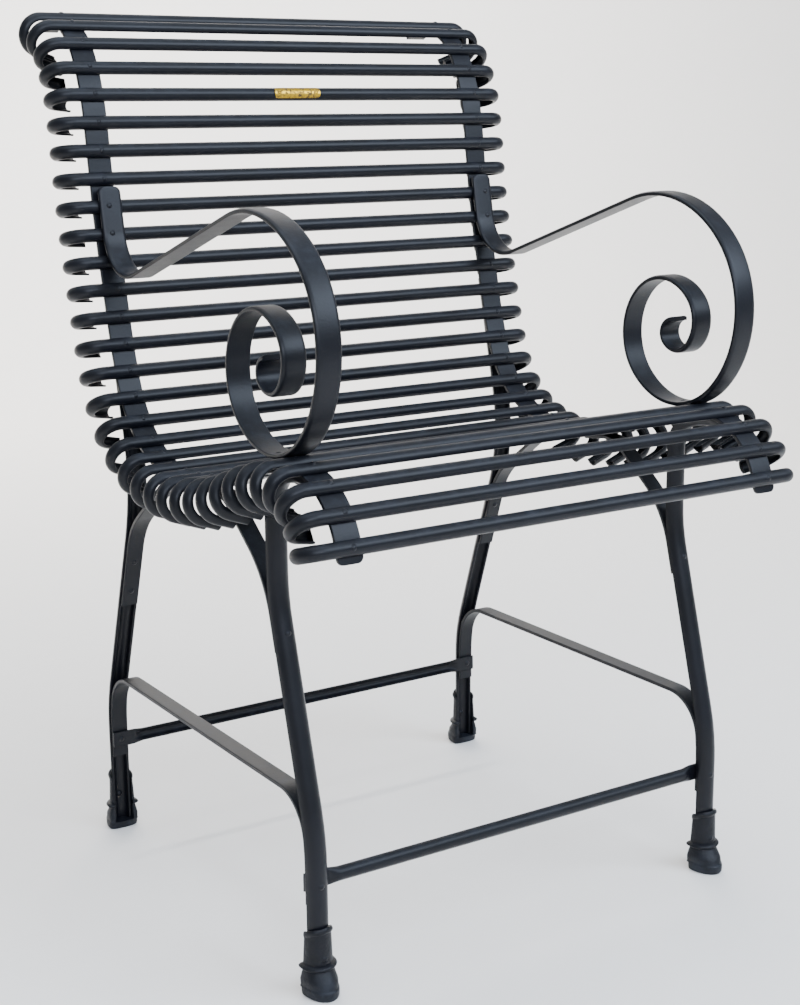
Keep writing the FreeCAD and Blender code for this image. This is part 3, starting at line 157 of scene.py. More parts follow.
# Each light's name, place, target, width, height, watts and colour.
LIGHTS = (("sky", (-0.3, 0.0, 2.8), CHAIR_MIDDLE, 1.7, 1.7, 45.0, (0.76, 0.86, 1.0)),
          ("right", (1.3, -2.0, 2.2), CHAIR_MIDDLE, 2.0, 1.5, 100.0, (0.70, 0.82, 1.0)),
          ("left", (-1.0, -2.8, 1.9), CHAIR_MIDDLE, 2.2, 1.0, 80.0, (0.74, 0.83, 1.0)),
          ("wall", (0.6, 2.6, 3.4), (0.6, 5.0, 1.0), 4.0, 1.0, 340.0, (1.0, 1.0, 1.0)))


class Value:
    """A shader socket that takes part in sums. Each sum adds a Math node."""

    def __init__(self, recipe, socket):
        self.recipe = recipe
        self.socket = socket

    def math(self, operation, first, second):
        return self.recipe.add("ShaderNodeMath", {"operation": operation}, {0: first, 1: second})

    def __add__(self, other):
        return self.math("ADD", self, other)

    __radd__ = __add__

    def __mul__(self, other):
        return self.math("MULTIPLY", self, other)

    __rmul__ = __mul__

    def __rsub__(self, other):
        return self.math("SUBTRACT", other, self)

    def between(self, low, high):
        """0 below low, 1 above high and a smooth step between them."""
        settings = {"interpolation_type": "SMOOTHSTEP"}
        return self.recipe.add("ShaderNodeMapRange", settings, {0: self, 1: low, 2: high, 3: 0.0, 4: 1.0})


class Recipe:
    """A material under construction."""

    def __init__(self, name):
        self.material = bpy.data.materials.new(name)
        self.material.use_nodes = True
        self.tree = self.material.node_tree
        self.tree.nodes.clear()
        self.place = self.add("ShaderNodeTexCoord", {}, {}, "Object")

    def add(self, kind, settings, sockets, output=0):
        """A node of any kind: its settings first, then the values or links of its sockets."""
        node = self.tree.nodes.new(kind)
        for name, value in settings.items():
            setattr(node, name, value)
        for key, value in sockets.items():
            if isinstance(value, Value):
                self.tree.links.new(value.socket, node.inputs[key])
            else:
                node.inputs[key].default_value = value
        return Value(self, node.outputs[output]) if node.outputs else None

    def noise(self, scale, detail=3.0, roughness=0.5, stretch=None):
        """Cloudy noise with about so many spots to the metre, from 0 to 1."""
        place = self.place
        if stretch is not None:
            place = self.add("ShaderNodeMapping", {}, {"Vector": place, "Scale": stretch})
        sockets = {"Vector": place, "Scale": scale, "Detail": detail, "Roughness": roughness}
        return self.add("ShaderNodeTexNoise", {}, sockets)

    def mix(self, share, first, second):
        """The first colour where share is 0 and the second where it is 1."""
        colours = [value if isinstance(value, Value) else (*value, 1.0) for value in (first, second)]
        return self.add("ShaderNodeMix", {"data_type": "RGBA"}, {0: share, 6: colours[0], 7: colours[1]}, 2)

    def bump(self, height, distance, strength, under=None):
        """A normal that leans with a height over a distance in metres, on top of another bump."""
        sockets = {"Height": height, "Distance": distance, "Strength": strength}
        if under is not None:
            sockets["Normal"] = under
        return self.add("ShaderNodeBump", {}, sockets)

    def facing_up(self):
        """How much the surface looks up, from -1 to 1."""
        normal = self.add("ShaderNodeNewGeometry", {}, {}, "Normal")
        return self.add("ShaderNodeSeparateXYZ", {}, {0: normal}, 2)

    def finish(self, **sockets):
        """The finished material. Spaces in a socket's name are written as underscores."""
        named = {name.replace("_", " "): value for name, value in sockets.items()}
        shader = self.add("ShaderNodeBsdfPrincipled", {}, named)
        self.add("ShaderNodeOutputMaterial", {}, {"Surface": shader})
        return self.material


def satin_paint(settings):
    """Anthracite powder coat: fine orange peel, faint cloudiness; upward faces lighter and bluer, partly a
    dusting, partly painted sky sheen, and duller.
    """
    recipe = Recipe("satin_paint")
    cloud = recipe.noise(14.0, 4.0)
    grain = recipe.noise(2600.0, 2.0)
    peel = recipe.noise(420.0, 2.0)
    worn = recipe.noise(60.0, 5.0, 0.65)
    upward = recipe.facing_up().between(0.1, 1.0)
    deep = tuple(channel * 0.62 for channel in settings.paint)
    base = recipe.mix(cloud.between(0.3, 0.7), deep, settings.paint)
    # Upward faces go towards a lighter, bluer colour: partly a dusting, partly a painted sheen for the sky's
    # reflection.
    dust_and_sheen_share = upward * worn.between(0.42, 0.75) * settings.dust_and_sheen
    colour = recipe.mix(dust_and_sheen_share, base, settings.dust_and_sheen_colour)
    rough = settings.paint_roughness - 0.06 + 0.12 * worn + 0.2 * upward
    normal = recipe.bump(peel, 0.00025, 0.35)
    normal = recipe.bump(grain, 0.00006, 0.3, normal)
    return recipe.finish(Base_Color=colour, Roughness=rough, Normal=normal, Specular_IOR_Level=PAINT_GLOSS)


def cast_paint(settings):
    """The same paint over a rough sand casting, dustier near the ground."""
    recipe = Recipe("cast_paint")
    lumps = recipe.noise(110.0, 4.0, 0.6)
    sand = recipe.noise(900.0, 3.0, 0.7)
    worn = recipe.noise(45.0, 5.0, 0.65)
    low = recipe.add("ShaderNodeSeparateXYZ", {}, {0: recipe.place}, 2)
    soil = (1.0 - low.between(0.0, 0.03)) * worn.between(0.35, 0.7)
    deep = tuple(channel * 0.6 for channel in settings.paint)
    base = recipe.mix(lumps.between(0.3, 0.7), deep, settings.paint)
    colour = recipe.mix(soil * 0.5, base, settings.dust_and_sheen_colour)
    rough = settings.paint_roughness + 0.02 + 0.16 * worn + 0.15 * soil
    normal = recipe.bump(lumps, 0.0016, 0.6)
    normal = recipe.bump(sand, 0.0003, 0.5, normal)
    return recipe.finish(Base_Color=colour, Roughness=rough, Normal=normal, Specular_IOR_Level=PAINT_GLOSS)


def plate_brass(settings):
    """Dulled brass with brown tarnish in cloudy patches and fine brushing along x."""
    recipe = Recipe("plate_brass")
    tarnish = recipe.noise(260.0, 5.0, 0.7)
    brushed = recipe.noise(900.0, 2.0, 0.5, (0.08, 1.0, 1.0))
    mask = tarnish.between(0.44, 0.62)
    colour = recipe.mix(mask, settings.brass, settings.tarnish)
    rough = 0.3 + 0.35 * mask + 0.08 * brushed
    normal = recipe.bump(brushed, 0.0001, 0.4)
    return recipe.finish(Base_Color=colour, Metallic=1.0 - 0.55 * mask, Roughness=rough, Normal=normal)


class ChairSettings(bpy.types.PropertyGroup):
    paint: bpy.props.FloatVectorProperty(
        name="Paint", description="Colour of the paint", subtype="COLOR", default=(0.0044, 0.0051, 0.0082),
        min=0.0, max=1.0)
    paint_roughness: bpy.props.FloatProperty(
        name="Paint roughness", description="Gloss of the paint, from mirror to matt", default=0.36,
        min=0.05, max=1.0)
    # The share of upward faces painted lighter and bluer: a dusting and a painted sky sheen.
    dust_and_sheen: bpy.props.FloatProperty(
        name="Dust", description="Dust on the upper faces", default=0.3, min=0.0, max=1.0)
    # Their colour, which the feet's soil near the ground also takes.
    dust_and_sheen_colour: bpy.props.FloatVectorProperty(
        name="Dust colour", description="Colour of the dust", subtype="COLOR", default=(0.035, 0.042, 0.056),
        min=0.0, max=1.0)
    brass: bpy.props.FloatVectorProperty(
        name="Brass", description="Colour of the plate", subtype="COLOR", default=(0.60, 0.36, 0.03),
        min=0.0, max=1.0)
    tarnish: bpy.props.FloatVectorProperty(
        name="Tarnish", description="Colour of the plate's tarnish", subtype="COLOR",
        default=(0.09, 0.055, 0.018), min=0.0, max=1.0)


def length_property(name, description, millimetres):
    """A length that the user can change, given in millimetres."""
    return bpy.props.FloatProperty(name=name, description=description, default=millimetres * MM, min=0.0,
                                   precision=4, subtype="DISTANCE", unit="LENGTH")


class ChairSizes(bpy.types.PropertyGroup):
    edge: length_property("Edge", "Radius of the bars' worn edges", 0.7)
    corner: length_property("Corner", "Radius of the round corners at bar ends", 6)
    slat_width: length_property("Slat width", "Half-round channel of the slats", 14)
    slat_depth: length_property("Slat depth", "From the strap to the slat's crown", 8)
    slat_wall: length_property("Slat wall", "Thickness of the slat's skin", 2)
    strap_width: length_property("Strap width", "Flat bar of the straps", 25)
    strap_thickness: length_property("Strap thickness", "Flat bar of the straps", 4)
    arm_width: length_property("Arm width", "Flat bar of the armrests", 24)
    arm_thickness: length_property("Arm thickness", "Flat bar of the armrests", 4.5)
    arm_shoulder: length_property("Arm shoulder", "Radius at the edges of the arm's outer face", 6)
    arm_drop: length_property("Arm drop", "How far the arm's outer face drops at its edges", 1.2)
    leg_width: length_property("Leg width", "Half-round channel of the legs", 21)
    leg_depth: length_property("Leg depth", "From the leg's open side to its crown", 11)
    leg_wall: length_property("Leg wall", "Thickness of the leg's skin", 3)
    flat_width: length_property("Flat width", "Flat bar of the side stretchers and braces", 18)
    flat_thickness: length_property("Flat thickness", "Flat bar of the side stretchers and braces", 4)


class CameraSettings(bpy.types.PropertyGroup):
    place: bpy.props.FloatVectorProperty(
        name="Place", description="Where the camera stands", subtype="TRANSLATION", unit="LENGTH",
        default=(-0.9171, -1.4467, 0.7773))
    yaw: bpy.props.FloatProperty(
        name="Yaw", description="Turn of the view from +y towards +x", subtype="ANGLE",
        default=math.radians(32.61))
    pitch: bpy.props.FloatProperty(
        name="Pitch", description="Rise of the view over the horizon", subtype="ANGLE",
        default=math.radians(-12.99))
    roll: bpy.props.FloatProperty(
        name="Roll", description="Tilt of the view about its own line", subtype="ANGLE",
        default=math.radians(-0.55))
    lens: bpy.props.FloatProperty(
        name="Lens", description="Focal length for the photograph's long side", subtype="DISTANCE_CAMERA",
        default=60.0, min=10.0)


MATERIALS = {}


def material(name, settings):
    """Each finish is made once."""
    makers = {"paint": satin_paint, "cast": cast_paint, "brass": plate_brass}
    if name not in MATERIALS:
        MATERIALS[name] = makers[name](settings)
    return MATERIALS[name]


def coat(names, finish, settings):
    """Gives CAD nodes their finish."""
    for name in names:
        slots = NODES[name].data.materials
        slots.clear()
        slots.append(material(finish, settings))


def named(*beginnings):
    """The CAD nodes whose names begin so, in order."""
    return sorted(name for name in NODES if name.startswith(beginnings))


def walk(start, steps, fine=math.radians(4.0)):
    """The stations of a line: the way from its start, two coordinates and the heading.

    Each run is divided evenly. A division of length l that turns by t has a chord of l times sin(t/2) over
    t/2, along the mean of its two headings, and the chords are added up from the start."""
    lengths, turns = np.array(steps, float).T
    turns = np.radians(turns)
    count = np.maximum(1, np.ceil(np.abs(turns) / fine)).astype(int)
    length = np.repeat(lengths * MM / count, count)
    turn = np.repeat(turns / count, count)
    heading = math.radians(start[2]) + np.concatenate([[0.0], np.cumsum(turn)])
    middle = (heading[:-1] + heading[1:]) / 2
    chord = length * np.sinc(turn / (2 * math.pi))
    way = np.concatenate([[0.0], np.cumsum(length)])
    first = start[0] * MM + np.concatenate([[0.0], np.cumsum(chord * np.cos(middle))])
    second = start[1] * MM + np.concatenate([[0.0], np.cumsum(chord * np.sin(middle))])
    return np.stack([way, first, second, heading])


def stations_at(line, way):
    """A line's stations at other places: one more chord from the station before each."""
    before = np.clip(np.searchsorted(line[0], way, "right") - 1, 0, line.shape[1] - 2)
    heading = np.interp(way, line[0], line[3])
    turn = heading - line[3][before]
    middle = line[3][before] + turn / 2
    chord = (way - line[0][before]) * np.sinc(turn / (2 * math.pi))
    return np.stack([way, line[1][before] + chord * np.cos(middle),
                     line[2][before] + chord * np.sin(middle), heading])


def soft_corners(points, back, ahead, radius):
    """Square corners rounded by an arc of a radius, with one more point on each side, which keeps the
    flats flat. An arc's point at an angle is its centre less radius times (ahead cos + back sin)."""
    points, back, ahead = (np.array(values, float) for values in (points, back, ahead))
    angle = np.linspace(0.0, math.pi / 2, EDGE_POINTS)[:, None, None]
    arc = points + (back + ahead) * radius - radius * (ahead * np.cos(angle) + back * np.sin(angle))
    before, after = points + FLAT_START * radius * back, points + FLAT_START * radius * ahead
    outline = np.concatenate([before[None], arc, after[None]])
    return outline.transpose(1, 0, 2).reshape(-1, 2)


def rise_between(values, low, high):
    """0 below low, 1 above high and an even rise between them."""
    return np.clip((values - low) / (high - low), 0.0, 1.0)


def circle_part(middle, radius, start, end, count):
    """Points of a circle between two angles, in degrees."""
    angle = np.radians(np.linspace(start, end, count))
    return np.stack([middle[0] + radius * np.cos(angle), middle[1] + radius * np.sin(angle)], -1)


def flat_section(width, low, high, edge):
    """A flat bar: a rectangle with soft corners. A section is given as (across, outward) points."""
    half = width / 2
    return soft_corners([(half, high), (-half, high), (-half, low), (half, low)],
                        [(0, -1), (1, 0), (0, 1), (-1, 0)], [(-1, 0), (0, -1), (1, 0), (0, 1)], edge)


def channel_section(width, depth, wall, edge):
    """A half-round channel: an outer and an inner half circle on straight flanks with soft lips."""
    half, inner = width / 2, width / 2 - wall
    middle = (0.0, depth - half)
    left = soft_corners([(-half, 0), (-inner, 0)], [(0, 1), (-1, 0)], [(1, 0), (0, 1)], edge)
    right = soft_corners([(inner, 0), (half, 0)], [(0, 1), (-1, 0)], [(1, 0), (0, 1)], edge)
    return np.vstack([circle_part(middle, half, 0, 180, 19), left,
                      circle_part(middle, inner, 180, 0, 13), right])


def arm_section(width, thickness, shoulder, drop, edge):
    """A flat bar whose outer face bends down at its edges: on each side an arc of the shoulder's radius,
    until it has dropped as asked, runs into a small arc that ends upright."""
    half, small = width / 2, ARM_EDGE * edge
    turn = math.acos(1 - drop / shoulder)
    flat = half - small - (shoulder - small) * math.sin(turn)
    steep = math.degrees(math.pi / 2 - turn)
    low = shoulder - (shoulder - small) * math.cos(turn)
    right = np.vstack([circle_part((half - small, -low), small, 0, steep, 4),
                       circle_part((flat, -shoulder), shoulder, steep, 90, 6)[1:]])
    left = right[::-1] * (-1, 1)
    under = soft_corners([(-half, -thickness), (half, -thickness)], [(0, 1), (-1, 0)], [(1, 0), (0, 1)],
                         edge)
    return np.vstack([right, left, under])


def carry(line, section, hand, origin=(0, 0, 0), first=(0, 1, 0), second=(0, 0, 1), narrowing=1.0):
    """A section carried along a line in the plane of two axes.

    The point (across, outward) of the section lies across along the plane's normal and outward to the
    right of the way, which is (sin, -cos) of the heading, or to its left where hand is -1."""
    way, along, up, heading = line[:, :, None]
    first, second = np.array(first, float), np.array(second, float)
    across = section[:, 0] * np.broadcast_to(narrowing, line.shape[1])[:, None]
    outward = hand * section[:, 1]
    points = (np.array(origin) + (along + outward * np.sin(heading))[..., None] * first
              + (up - outward * np.cos(heading))[..., None] * second
              + across[..., None] * np.cross(first, second))
    return points if hand > 0 else points[:, ::-1]


def rounded_end(line, section, radius, at_start):
    """Stations and narrowing for an end with two round corners: at a way d from the end the bar's side
    lies radius - sqrt(radius^2 - (radius - d)^2) further in."""
    depth = radius * (1 - np.cos(np.radians(np.linspace(0.0, 90.0, 8))))
    total = line[0][-1]
    ways = np.unique(np.round(np.concatenate([line[0], depth if at_start else total - depth]), 7))
    inside = np.clip(radius - (ways if at_start else total - ways), 0.0, radius)
    half = section[:, 0].max()
    narrowing = 1 - (radius - np.sqrt(radius ** 2 - inside ** 2)) / half
    return stations_at(line, np.clip(ways, 0.0, total)), narrowing


def grid_quads(numbers):
    """The four-sided faces between the neighbours of a grid of corner numbers."""
    quads = np.stack([numbers[:-1, :-1], numbers[:-1, 1:], numbers[1:, 1:], numbers[1:, :-1]], -1)
    return quads.reshape(-1, 4).tolist()


def lidded(points):
    """Corners and faces of a skin over a grid, each row a closed ring, with a lid on both ends."""
    rows, columns = points.shape[:2]
    numbers = np.arange(rows * columns).reshape(rows, columns)
    ring = np.hstack([numbers, numbers[:, :1]])
    lids = [numbers[0, ::-1].tolist(), numbers[-1].tolist()]
    return points.reshape(-1, 3), grid_quads(ring) + lids


def make_object(name, skins, finish):
    """One mesh of one or more skins, shaded smooth up to 40 degrees."""
    corners, faces = [], []
    for skin_corners, skin_faces in skins:
        shift = sum(len(block) for block in corners)
        corners.append(skin_corners)
        faces += [[index + shift for index in face] for face in skin_faces]
    mesh = bpy.data.meshes.new(name)
    mesh.from_pydata(np.vstack(corners).tolist(), [], faces)
    mesh.polygons.foreach_set("use_smooth", np.ones(len(mesh.polygons), bool))
    mesh.set_sharp_from_angle(angle=math.radians(40))
    mesh.materials.append(finish)
    thing = bpy.data.objects.new(name, mesh)
    bpy.context.scene.collection.objects.link(thing)
    return thing


def stand_in(node, skins, finish, settings):
    """A detailed piece in place of a CAD node."""
    piece = make_object("detailed_" + node, skins, material(finish, settings))
    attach(piece, "root")
    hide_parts(node)


def middle_x(node):
    """The x of a node's middle."""
    low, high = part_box(node)
    return (low[0] + high[0]) / 2


def bars(names, line, section, hand, settings, narrowing=1.0):
    """A pair of bars in the side frames, each on the middle of its CAD node."""
    for node in names:
        points = carry(line, section, hand, (middle_x(node), 0, 0), narrowing=narrowing)
        stand_in(node, [lidded(points)], "paint", settings)


class CHAIR_OT_slats(bpy.types.Operator):
    """Makes the slats, half-round channels with hooked ends"""
    bl_idname = "chair.slats"
    bl_label = "Slats"

    def execute(self, context):
        settings, sizes = context.scene.chair, context.scene.chair_sizes
        section = channel_section(sizes.slat_width, sizes.slat_depth, sizes.slat_wall, sizes.edge)
        turn = math.radians(HOOK_TURN)
        tip = (-(SLAT_HALF + HOOK_RADIUS * math.sin(turn) + HOOK_TAIL * math.cos(turn)),
               HOOK_RADIUS * (math.cos(turn) - 1) - HOOK_TAIL * math.sin(turn), HOOK_TURN)
        bend = HOOK_RADIUS * turn
        line = walk(tip, ((HOOK_TAIL, 0), (bend, -HOOK_TURN), (2 * SLAT_HALF, 0), (bend, -HOOK_TURN),
                          (HOOK_TAIL, 0)), HOOK_FINE)
        strap = walk(*STRAP)
        names = named("slat_0", "slat_1", "slat_2", "slat_3")
        way = (FIRST_SLAT + SLAT_PITCH * np.arange(len(names))) * MM
        _, y, z, heading = stations_at(strap, way)
        right = np.stack([np.sin(heading), -np.cos(heading)], -1)
        # A slat stands on the strap where its two edges touch, half its width before and behind.
        middles, half = np.stack([y, z], -1), sizes.slat_width / 2
        edges = np.stack([stations_at(strap, way + shift)[1:3].T for shift in (-half, half)])
        rise = ((edges - middles) * right).sum(-1).max(0).clip(0.0)
        for node, place, out in zip(names, middles + rise[:, None] * right, right):
            points = carry(line, section, -1, (0, *place), (1, 0, 0), (0, *out))
            stand_in(node, [lidded(points)], "paint", settings)
        return {"FINISHED"}


class CHAIR_OT_straps(bpy.types.Operator):
    """Makes the two straps that carry the slats"""
    bl_idname = "chair.straps"
    bl_label = "Straps"

    def execute(self, context):
        settings, sizes = context.scene.chair, context.scene.chair_sizes
        section = flat_section(sizes.strap_width, -sizes.strap_thickness, 0.0, sizes.edge)
        line, narrowing = rounded_end(walk(*STRAP), section, sizes.corner, False)
        bars(named("strap_"), line, section, 1, settings, narrowing)
        return {"FINISHED"}


class CHAIR_OT_armrests(bpy.types.Operator):
    """Makes the armrests with their scrolls"""
    bl_idname = "chair.armrests"
    bl_label = "Armrests"

    def execute(self, context):
        settings, sizes = context.scene.chair, context.scene.chair_sizes
        section = arm_section(sizes.arm_width, sizes.arm_thickness, sizes.arm_shoulder, sizes.arm_drop,
                              sizes.edge)
        line, narrowing = rounded_end(walk(*ARMREST), section, sizes.corner, True)
        bars(named("armrest"), line, section, 1, settings, narrowing)
        return {"FINISHED"}


class CHAIR_OT_legs(bpy.types.Operator):
    """Makes the four legs, half-round channels"""
    bl_idname = "chair.legs"
    bl_label = "Legs"

    def execute(self, context):
        settings, sizes = context.scene.chair, context.scene.chair_sizes
        section = channel_section(sizes.leg_width, sizes.leg_depth, sizes.leg_wall, sizes.edge)
        bars(named("front_leg"), walk(*FRONT_LEG), section, -1, settings)
        bars(named("rear_leg"), walk(*REAR_LEG), section, -1, settings)
        return {"FINISHED"}


class CHAIR_OT_stretchers(bpy.types.Operator):
    """Makes the arched side stretchers and the two cross stretchers"""
    bl_idname = "chair.stretchers"
    bl_label = "Stretchers"

    def execute(self, context):
        settings, sizes = context.scene.chair, context.scene.chair_sizes
        section = flat_section(sizes.flat_width, 0.0, sizes.flat_thickness, sizes.edge)
        bars(named("side_stretcher"), walk(*SIDE_STRETCHER), section, 1, settings)
        for end, (open_side, toe) in CROSS_OPEN_SIDES.items():
            points = self.squeezed(sizes, open_side * MM, toe)
            stand_in(end + "_cross_stretcher", [lidded(points)], "paint", settings)
        return {"FINISHED"}

    def squeezed(self, sizes, open_side, toe):
        """A channel along x, pressed flat at both ends.

        With share 0 in the channel and 1 in the tabs, rising as 3t^2 - 2t^3 over the squeezed length, each
        point goes to 1 - share times its place in the channel plus share times its place in the tab. There
        the outer skin is a superellipse of power TAB_POWER and the inner one is closed up to a seam."""
        channel = channel_section(sizes.slat_width, sizes.slat_depth, sizes.slat_wall, sizes.edge)
        half_tab, tab = CROSS_TAB[0] * MM, CROSS_TAB[1] * MM
        across, outward = channel.T
        angle = np.arctan2(outward / sizes.slat_depth, across / (sizes.slat_width / 2))
        reach = (np.abs(np.cos(angle)) ** TAB_POWER + np.abs(np.sin(angle)) ** TAB_POWER) ** (-1 / TAB_POWER)
        skin = np.hypot(across, outward - sizes.slat_depth + sizes.slat_width / 2)
        inside = (skin < sizes.slat_width / 2 - sizes.slat_wall / 2) & (outward > sizes.edge)
        pressed = np.stack([np.cos(angle) * reach * half_tab, np.sin(angle) * reach * tab], -1)
        seam = across[inside] * TAB_SEAM_HALF
        pressed[inside] = np.stack([seam, np.full_like(seam, TAB_SEAM_GAP * sizes.edge)], -1)
        ends = np.linspace(CROSS_HALF - CROSS_SQUEEZE, CROSS_HALF, 9)
        places = np.concatenate([[-CROSS_TIP], -ends[::-1], ends, [CROSS_TIP]]) * MM
        t = np.clip((np.abs(places) / MM - CROSS_HALF + CROSS_SQUEEZE) / CROSS_SQUEEZE, 0.0, 1.0)
        share = (t * t * (3 - 2 * t))[:, None, None]
        sections = (1 - share) * channel + share * pressed
        points = np.stack(np.broadcast_arrays(places[:, None], open_side + toe * sections[..., 1],
                                              CROSS_Z * MM + sections[..., 0]), -1)
        return points if toe > 0 else points[:, ::-1]


class CHAIR_OT_braces(bpy.types.Operator):
    """Makes the four braces between legs and straps"""
    bl_idname = "chair.braces"
    bl_label = "Braces"

    def execute(self, context):
        settings, sizes = context.scene.chair, context.scene.chair_sizes
        section = flat_section(sizes.flat_width, 0.0, sizes.flat_thickness, sizes.edge)
        bars(named("front_brace"), walk(*FRONT_BRACE), section, 1, settings)
        bars(named("rear_brace"), walk(*REAR_BRACE), section, -1, settings)
        return {"FINISHED"}


class CHAIR_OT_rivets(bpy.types.Operator):
    """Paints the rivets"""
    bl_idname = "chair.rivets"
    bl_label = "Rivets"

    def execute(self, context):
        coat(named("slat_rivets", "arm_rivets", "frame_rivets", "foot_rivets"), "paint", context.scene.chair)
        coat(named("plate_rivets"), "brass", context.scene.chair)
        return {"FINISHED"}


class CHAIR_OT_feet(bpy.types.Operator):
    """Makes the cast feet: a hoof, a ring and a cup with a rolled rim, open behind the leg"""
    bl_idname = "chair.feet"
    bl_label = "Feet"

    def execute(self, context):
        settings = context.scene.chair
        for end, (leg_y, toe) in FEET.items():
            for node in named(end + "_foot"):
                skins = []
                for across, ahead, up in (self.sole(), self.shell()):
                    points = np.stack([middle_x(node) + toe * across * MM, leg_y * MM + toe * ahead * MM,
                                       up * MM], -1)
                    skins.append(lidded(points))
                stand_in(node, skins, "cast", settings)
        return {"FINISHED"}

    def growth(self, up):
        """How far the casting stands out at a height, at its sides and at its toe.

        The hoof follows a table of shares of its greatest growth. The ring adds a half sine over its
        height, to a power, and the cup's sides come in evenly from the ring to the rim."""
        side = np.interp(up, HOOF_LEVELS, HOOF_SIDE) * HOOF_SIDE_GROWTH
        toe = np.interp(up, HOOF_LEVELS, HOOF_TOE) * HOOF_TOE_GROWTH
        through_ring = rise_between(up, *RING)
        ring = np.sin(math.pi * through_ring) ** RING_POWER * RING_GROWTH
        taper = CUP_TAPER * (1 - rise_between(up, RING[1], RIM[0])) * through_ring
        return side + ring + taper, toe + ring

    def sole(self):
        """The hoof's closed lower part, up to the leg's end: half an ellipse ahead and a squarer back,
        whose cosine and sine are raised to a power."""
        angle = np.linspace(0.0, 2 * math.pi, 64, endpoint=False)
        across, ahead = np.cos(angle), np.sin(angle)
        back = ahead < 0
        across[back] = np.sign(across[back]) * np.abs(across[back]) ** HOOF_BACK_POWER
        ahead[back] = -(-ahead[back]) ** HOOF_BACK_POWER
        up = np.array(SOLE_LEVELS)[:, None]
        side, toe = self.growth(up)
        reach = np.where(back, CUP_BACK + side, CUP_FRONT + toe)
        return ((CUP_SIDE + side) * across, CROWN + reach * ahead,
                np.broadcast_to(up, (len(up), len(angle))))

    def shell(self):
        """The casting round the leg: an outer skin round the crown, two lips behind, and the socket.

        Every point of the outline has a place and the way that it moves when the sides or the toe grow.
        The rim grows as a half sine over its height, more so ahead. Its plane rises to the toe, it waves
        by a sum of sines of the angle round the leg, and its inner edge is chamfered."""
        angle = np.radians(np.linspace(0.0, 180.0, 41))
        zero = np.zeros(len(angle))
        front = np.stack([CUP_SIDE * np.cos(angle), CROWN + CUP_FRONT * np.sin(angle), np.cos(angle), zero,
                          zero, np.sin(angle)], -1)
        lip = np.array(LIP)
        inside = np.radians(np.linspace(180.0, 0.0, 25))
        bore = np.stack([SOCKET * np.cos(inside), CROWN + SOCKET * np.sin(inside)], -1)
        socket = np.hstack([bore, np.zeros((len(inside), 4))])
        mirrored = lip[::-1] * (-1, 1, -1, 1, 1, 1)
        outline = np.vstack([front, lip, socket, mirrored])[None]
        up = np.concatenate([HOOF_TOP_LEVELS, np.linspace(*RING, 13), np.linspace(RING[1] + 1, RIM[0] - 1, 9),
                             np.linspace(*RIM, 13)])[:, None]
        side, toe = self.growth(up)
        lean = rise_between(up, RING[1], RIM[0])
        turn = math.pi * rise_between(up, *RIM)
        round_leg = np.arctan2(outline[..., 1], outline[..., 0])
        wave = sum(share * np.sin(times * round_leg + start) for times, start, share in WAVES)
        ahead_share = rise_between(outline[..., 1], 0.0, CROWN + CUP_FRONT)
        rim = np.sin(turn) * (RIM_GROWTH * (RIM_BACK_SHARE + ahead_share) + RIM_ROUGHNESS * wave)
        side, toe = side + rim, toe + rim
        across = outline[..., 0] + side * outline[..., 2] + toe * outline[..., 4]
        ahead = outline[..., 1] + side * outline[..., 3] + toe * outline[..., 5]
        at_top, in_socket = up == RIM[1], np.abs(outline[..., 2:]).sum(-1) == 0
        high = (up + lean * math.tan(math.radians(RIM_SLANT)) * outline[..., 1]
                + lean ** 2 * RIM_RIPPLE * wave - RIM_CHAMFER * at_top * in_socket)
        return across, ahead, high


class CHAIR_OT_plate(bpy.types.Operator):
    """Finishes the bare plate"""
    bl_idname = "chair.plate"
    bl_label = "Plate"

    def execute(self, context):
        coat(["name_plate"], "brass", context.scene.chair)
        return {"FINISHED"}


def area_light(name, place, target, width, height, power, colour):
    """A soft box that looks at a target."""
    light = bpy.data.lights.new(name, "AREA")
    light.shape = "RECTANGLE"
    light.size = width
    light.size_y = height
    light.energy = power
    light.color = colour
    lamp = bpy.data.objects.new(name, light)
    bpy.context.scene.collection.objects.link(lamp)
    lamp.location = place
    lamp.rotation_mode = "QUATERNION"
    lamp.rotation_quaternion = (Vector(target) - Vector(place)).to_track_quat("-Z", "Y")


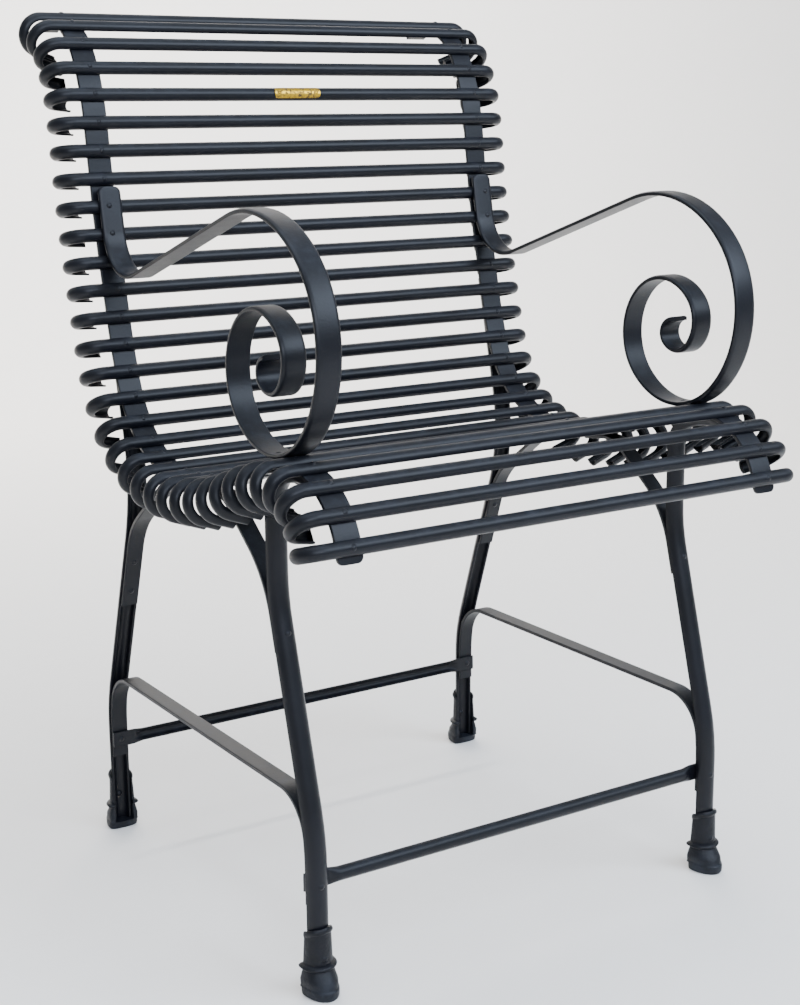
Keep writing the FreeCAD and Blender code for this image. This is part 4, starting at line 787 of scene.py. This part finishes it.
class CHAIR_OT_stage(bpy.types.Operator):
    """Sets up the pale floor, the lights and the camera"""
    bl_idname = "chair.stage"
    bl_label = "Stage"

    def execute(self, context):
        settings = context.scene.chair_camera
        recipe = Recipe("pale_floor")
        speckle = recipe.noise(30.0, 3.0)
        colour = recipe.mix(speckle, (0.93, 0.885, 0.83), (0.95, 0.905, 0.85))
        floor_paint = recipe.finish(Base_Color=colour, Roughness=0.9)

        # The floor runs back, bends up with a radius and rises as a wall: z over y by run and arc.
        along = np.linspace(-FLOOR_HALF, FLOOR_HALF, 3)
        angle = np.radians(np.linspace(0, 90, 25))
        run, rise = FLOOR_BEND * np.sin(angle), FLOOR_BEND * (1 - np.cos(angle))
        depth = np.concatenate([[-FLOOR_HALF], FLOOR_BEHIND + run, [FLOOR_BEHIND + FLOOR_BEND]])
        height = np.concatenate([[0.0], rise, [WALL_HEIGHT]])
        yaw = settings.yaw
        across, back = np.meshgrid(along, depth)
        up = np.meshgrid(along, height)[1]
        points = np.stack([across * math.cos(yaw) + back * math.sin(yaw),
                           -across * math.sin(yaw) + back * math.cos(yaw), up], -1)
        numbers = np.arange(points.shape[0] * points.shape[1]).reshape(points.shape[:2])
        make_object("floor", [(points.reshape(-1, 3), grid_quads(numbers))], floor_paint)

        world = bpy.data.worlds.new("studio")
        context.scene.world = world
        world.use_nodes = True
        backdrop = world.node_tree.nodes["Background"]
        backdrop.inputs["Color"].default_value = SKY_COLOUR
        backdrop.inputs["Strength"].default_value = SKY_STRENGTH
        for light in LIGHTS:
            area_light(*light)

        camera = bpy.data.objects.new("camera", bpy.data.cameras.new("camera"))
        context.scene.collection.objects.link(camera)
        camera.data.sensor_width = SENSOR_WIDTH
        camera.data.lens = settings.lens
        camera.location = settings.place
        forward = Vector((math.sin(settings.yaw) * math.cos(settings.pitch),
                          math.cos(settings.yaw) * math.cos(settings.pitch), math.sin(settings.pitch)))
        facing = forward.to_track_quat("-Z", "Y").to_matrix().to_4x4()
        turned = facing @ type(facing).Rotation(settings.roll, 4, "Z")
        camera.rotation_mode = "QUATERNION"
        camera.rotation_quaternion = turned.to_quaternion()
        context.scene.camera = camera
        return {"FINISHED"}


class CHAIR_PT_panel(bpy.types.Panel):
    bl_label = "Garden armchair"
    bl_idname = "CHAIR_PT_panel"
    bl_space_type = "VIEW_3D"
    bl_region_type = "UI"
    bl_category = "Chair"

    def draw(self, context):
        for operator in OPERATORS:
            self.layout.operator(operator.bl_idname)


OPERATORS = (CHAIR_OT_slats, CHAIR_OT_straps, CHAIR_OT_armrests, CHAIR_OT_legs, CHAIR_OT_stretchers,
             CHAIR_OT_braces, CHAIR_OT_rivets, CHAIR_OT_feet, CHAIR_OT_plate, CHAIR_OT_stage)
CLASSES = (ChairSettings, ChairSizes, CameraSettings, *OPERATORS, CHAIR_PT_panel)


def register():
    for item in CLASSES:
        bpy.utils.register_class(item)
    bpy.types.Scene.chair = bpy.props.PointerProperty(type=ChairSettings)
    bpy.types.Scene.chair_sizes = bpy.props.PointerProperty(type=ChairSizes)
    bpy.types.Scene.chair_camera = bpy.props.PointerProperty(type=CameraSettings)


def unregister():
    del bpy.types.Scene.chair_camera
    del bpy.types.Scene.chair_sizes
    del bpy.types.Scene.chair
    for item in reversed(CLASSES):
        bpy.utils.unregister_class(item)


def main():
    register()
    for operator in OPERATORS:
        group, name = operator.bl_idname.split(".")
        getattr(getattr(bpy.ops, group), name)()


if __name__ == "__main__":
    main()
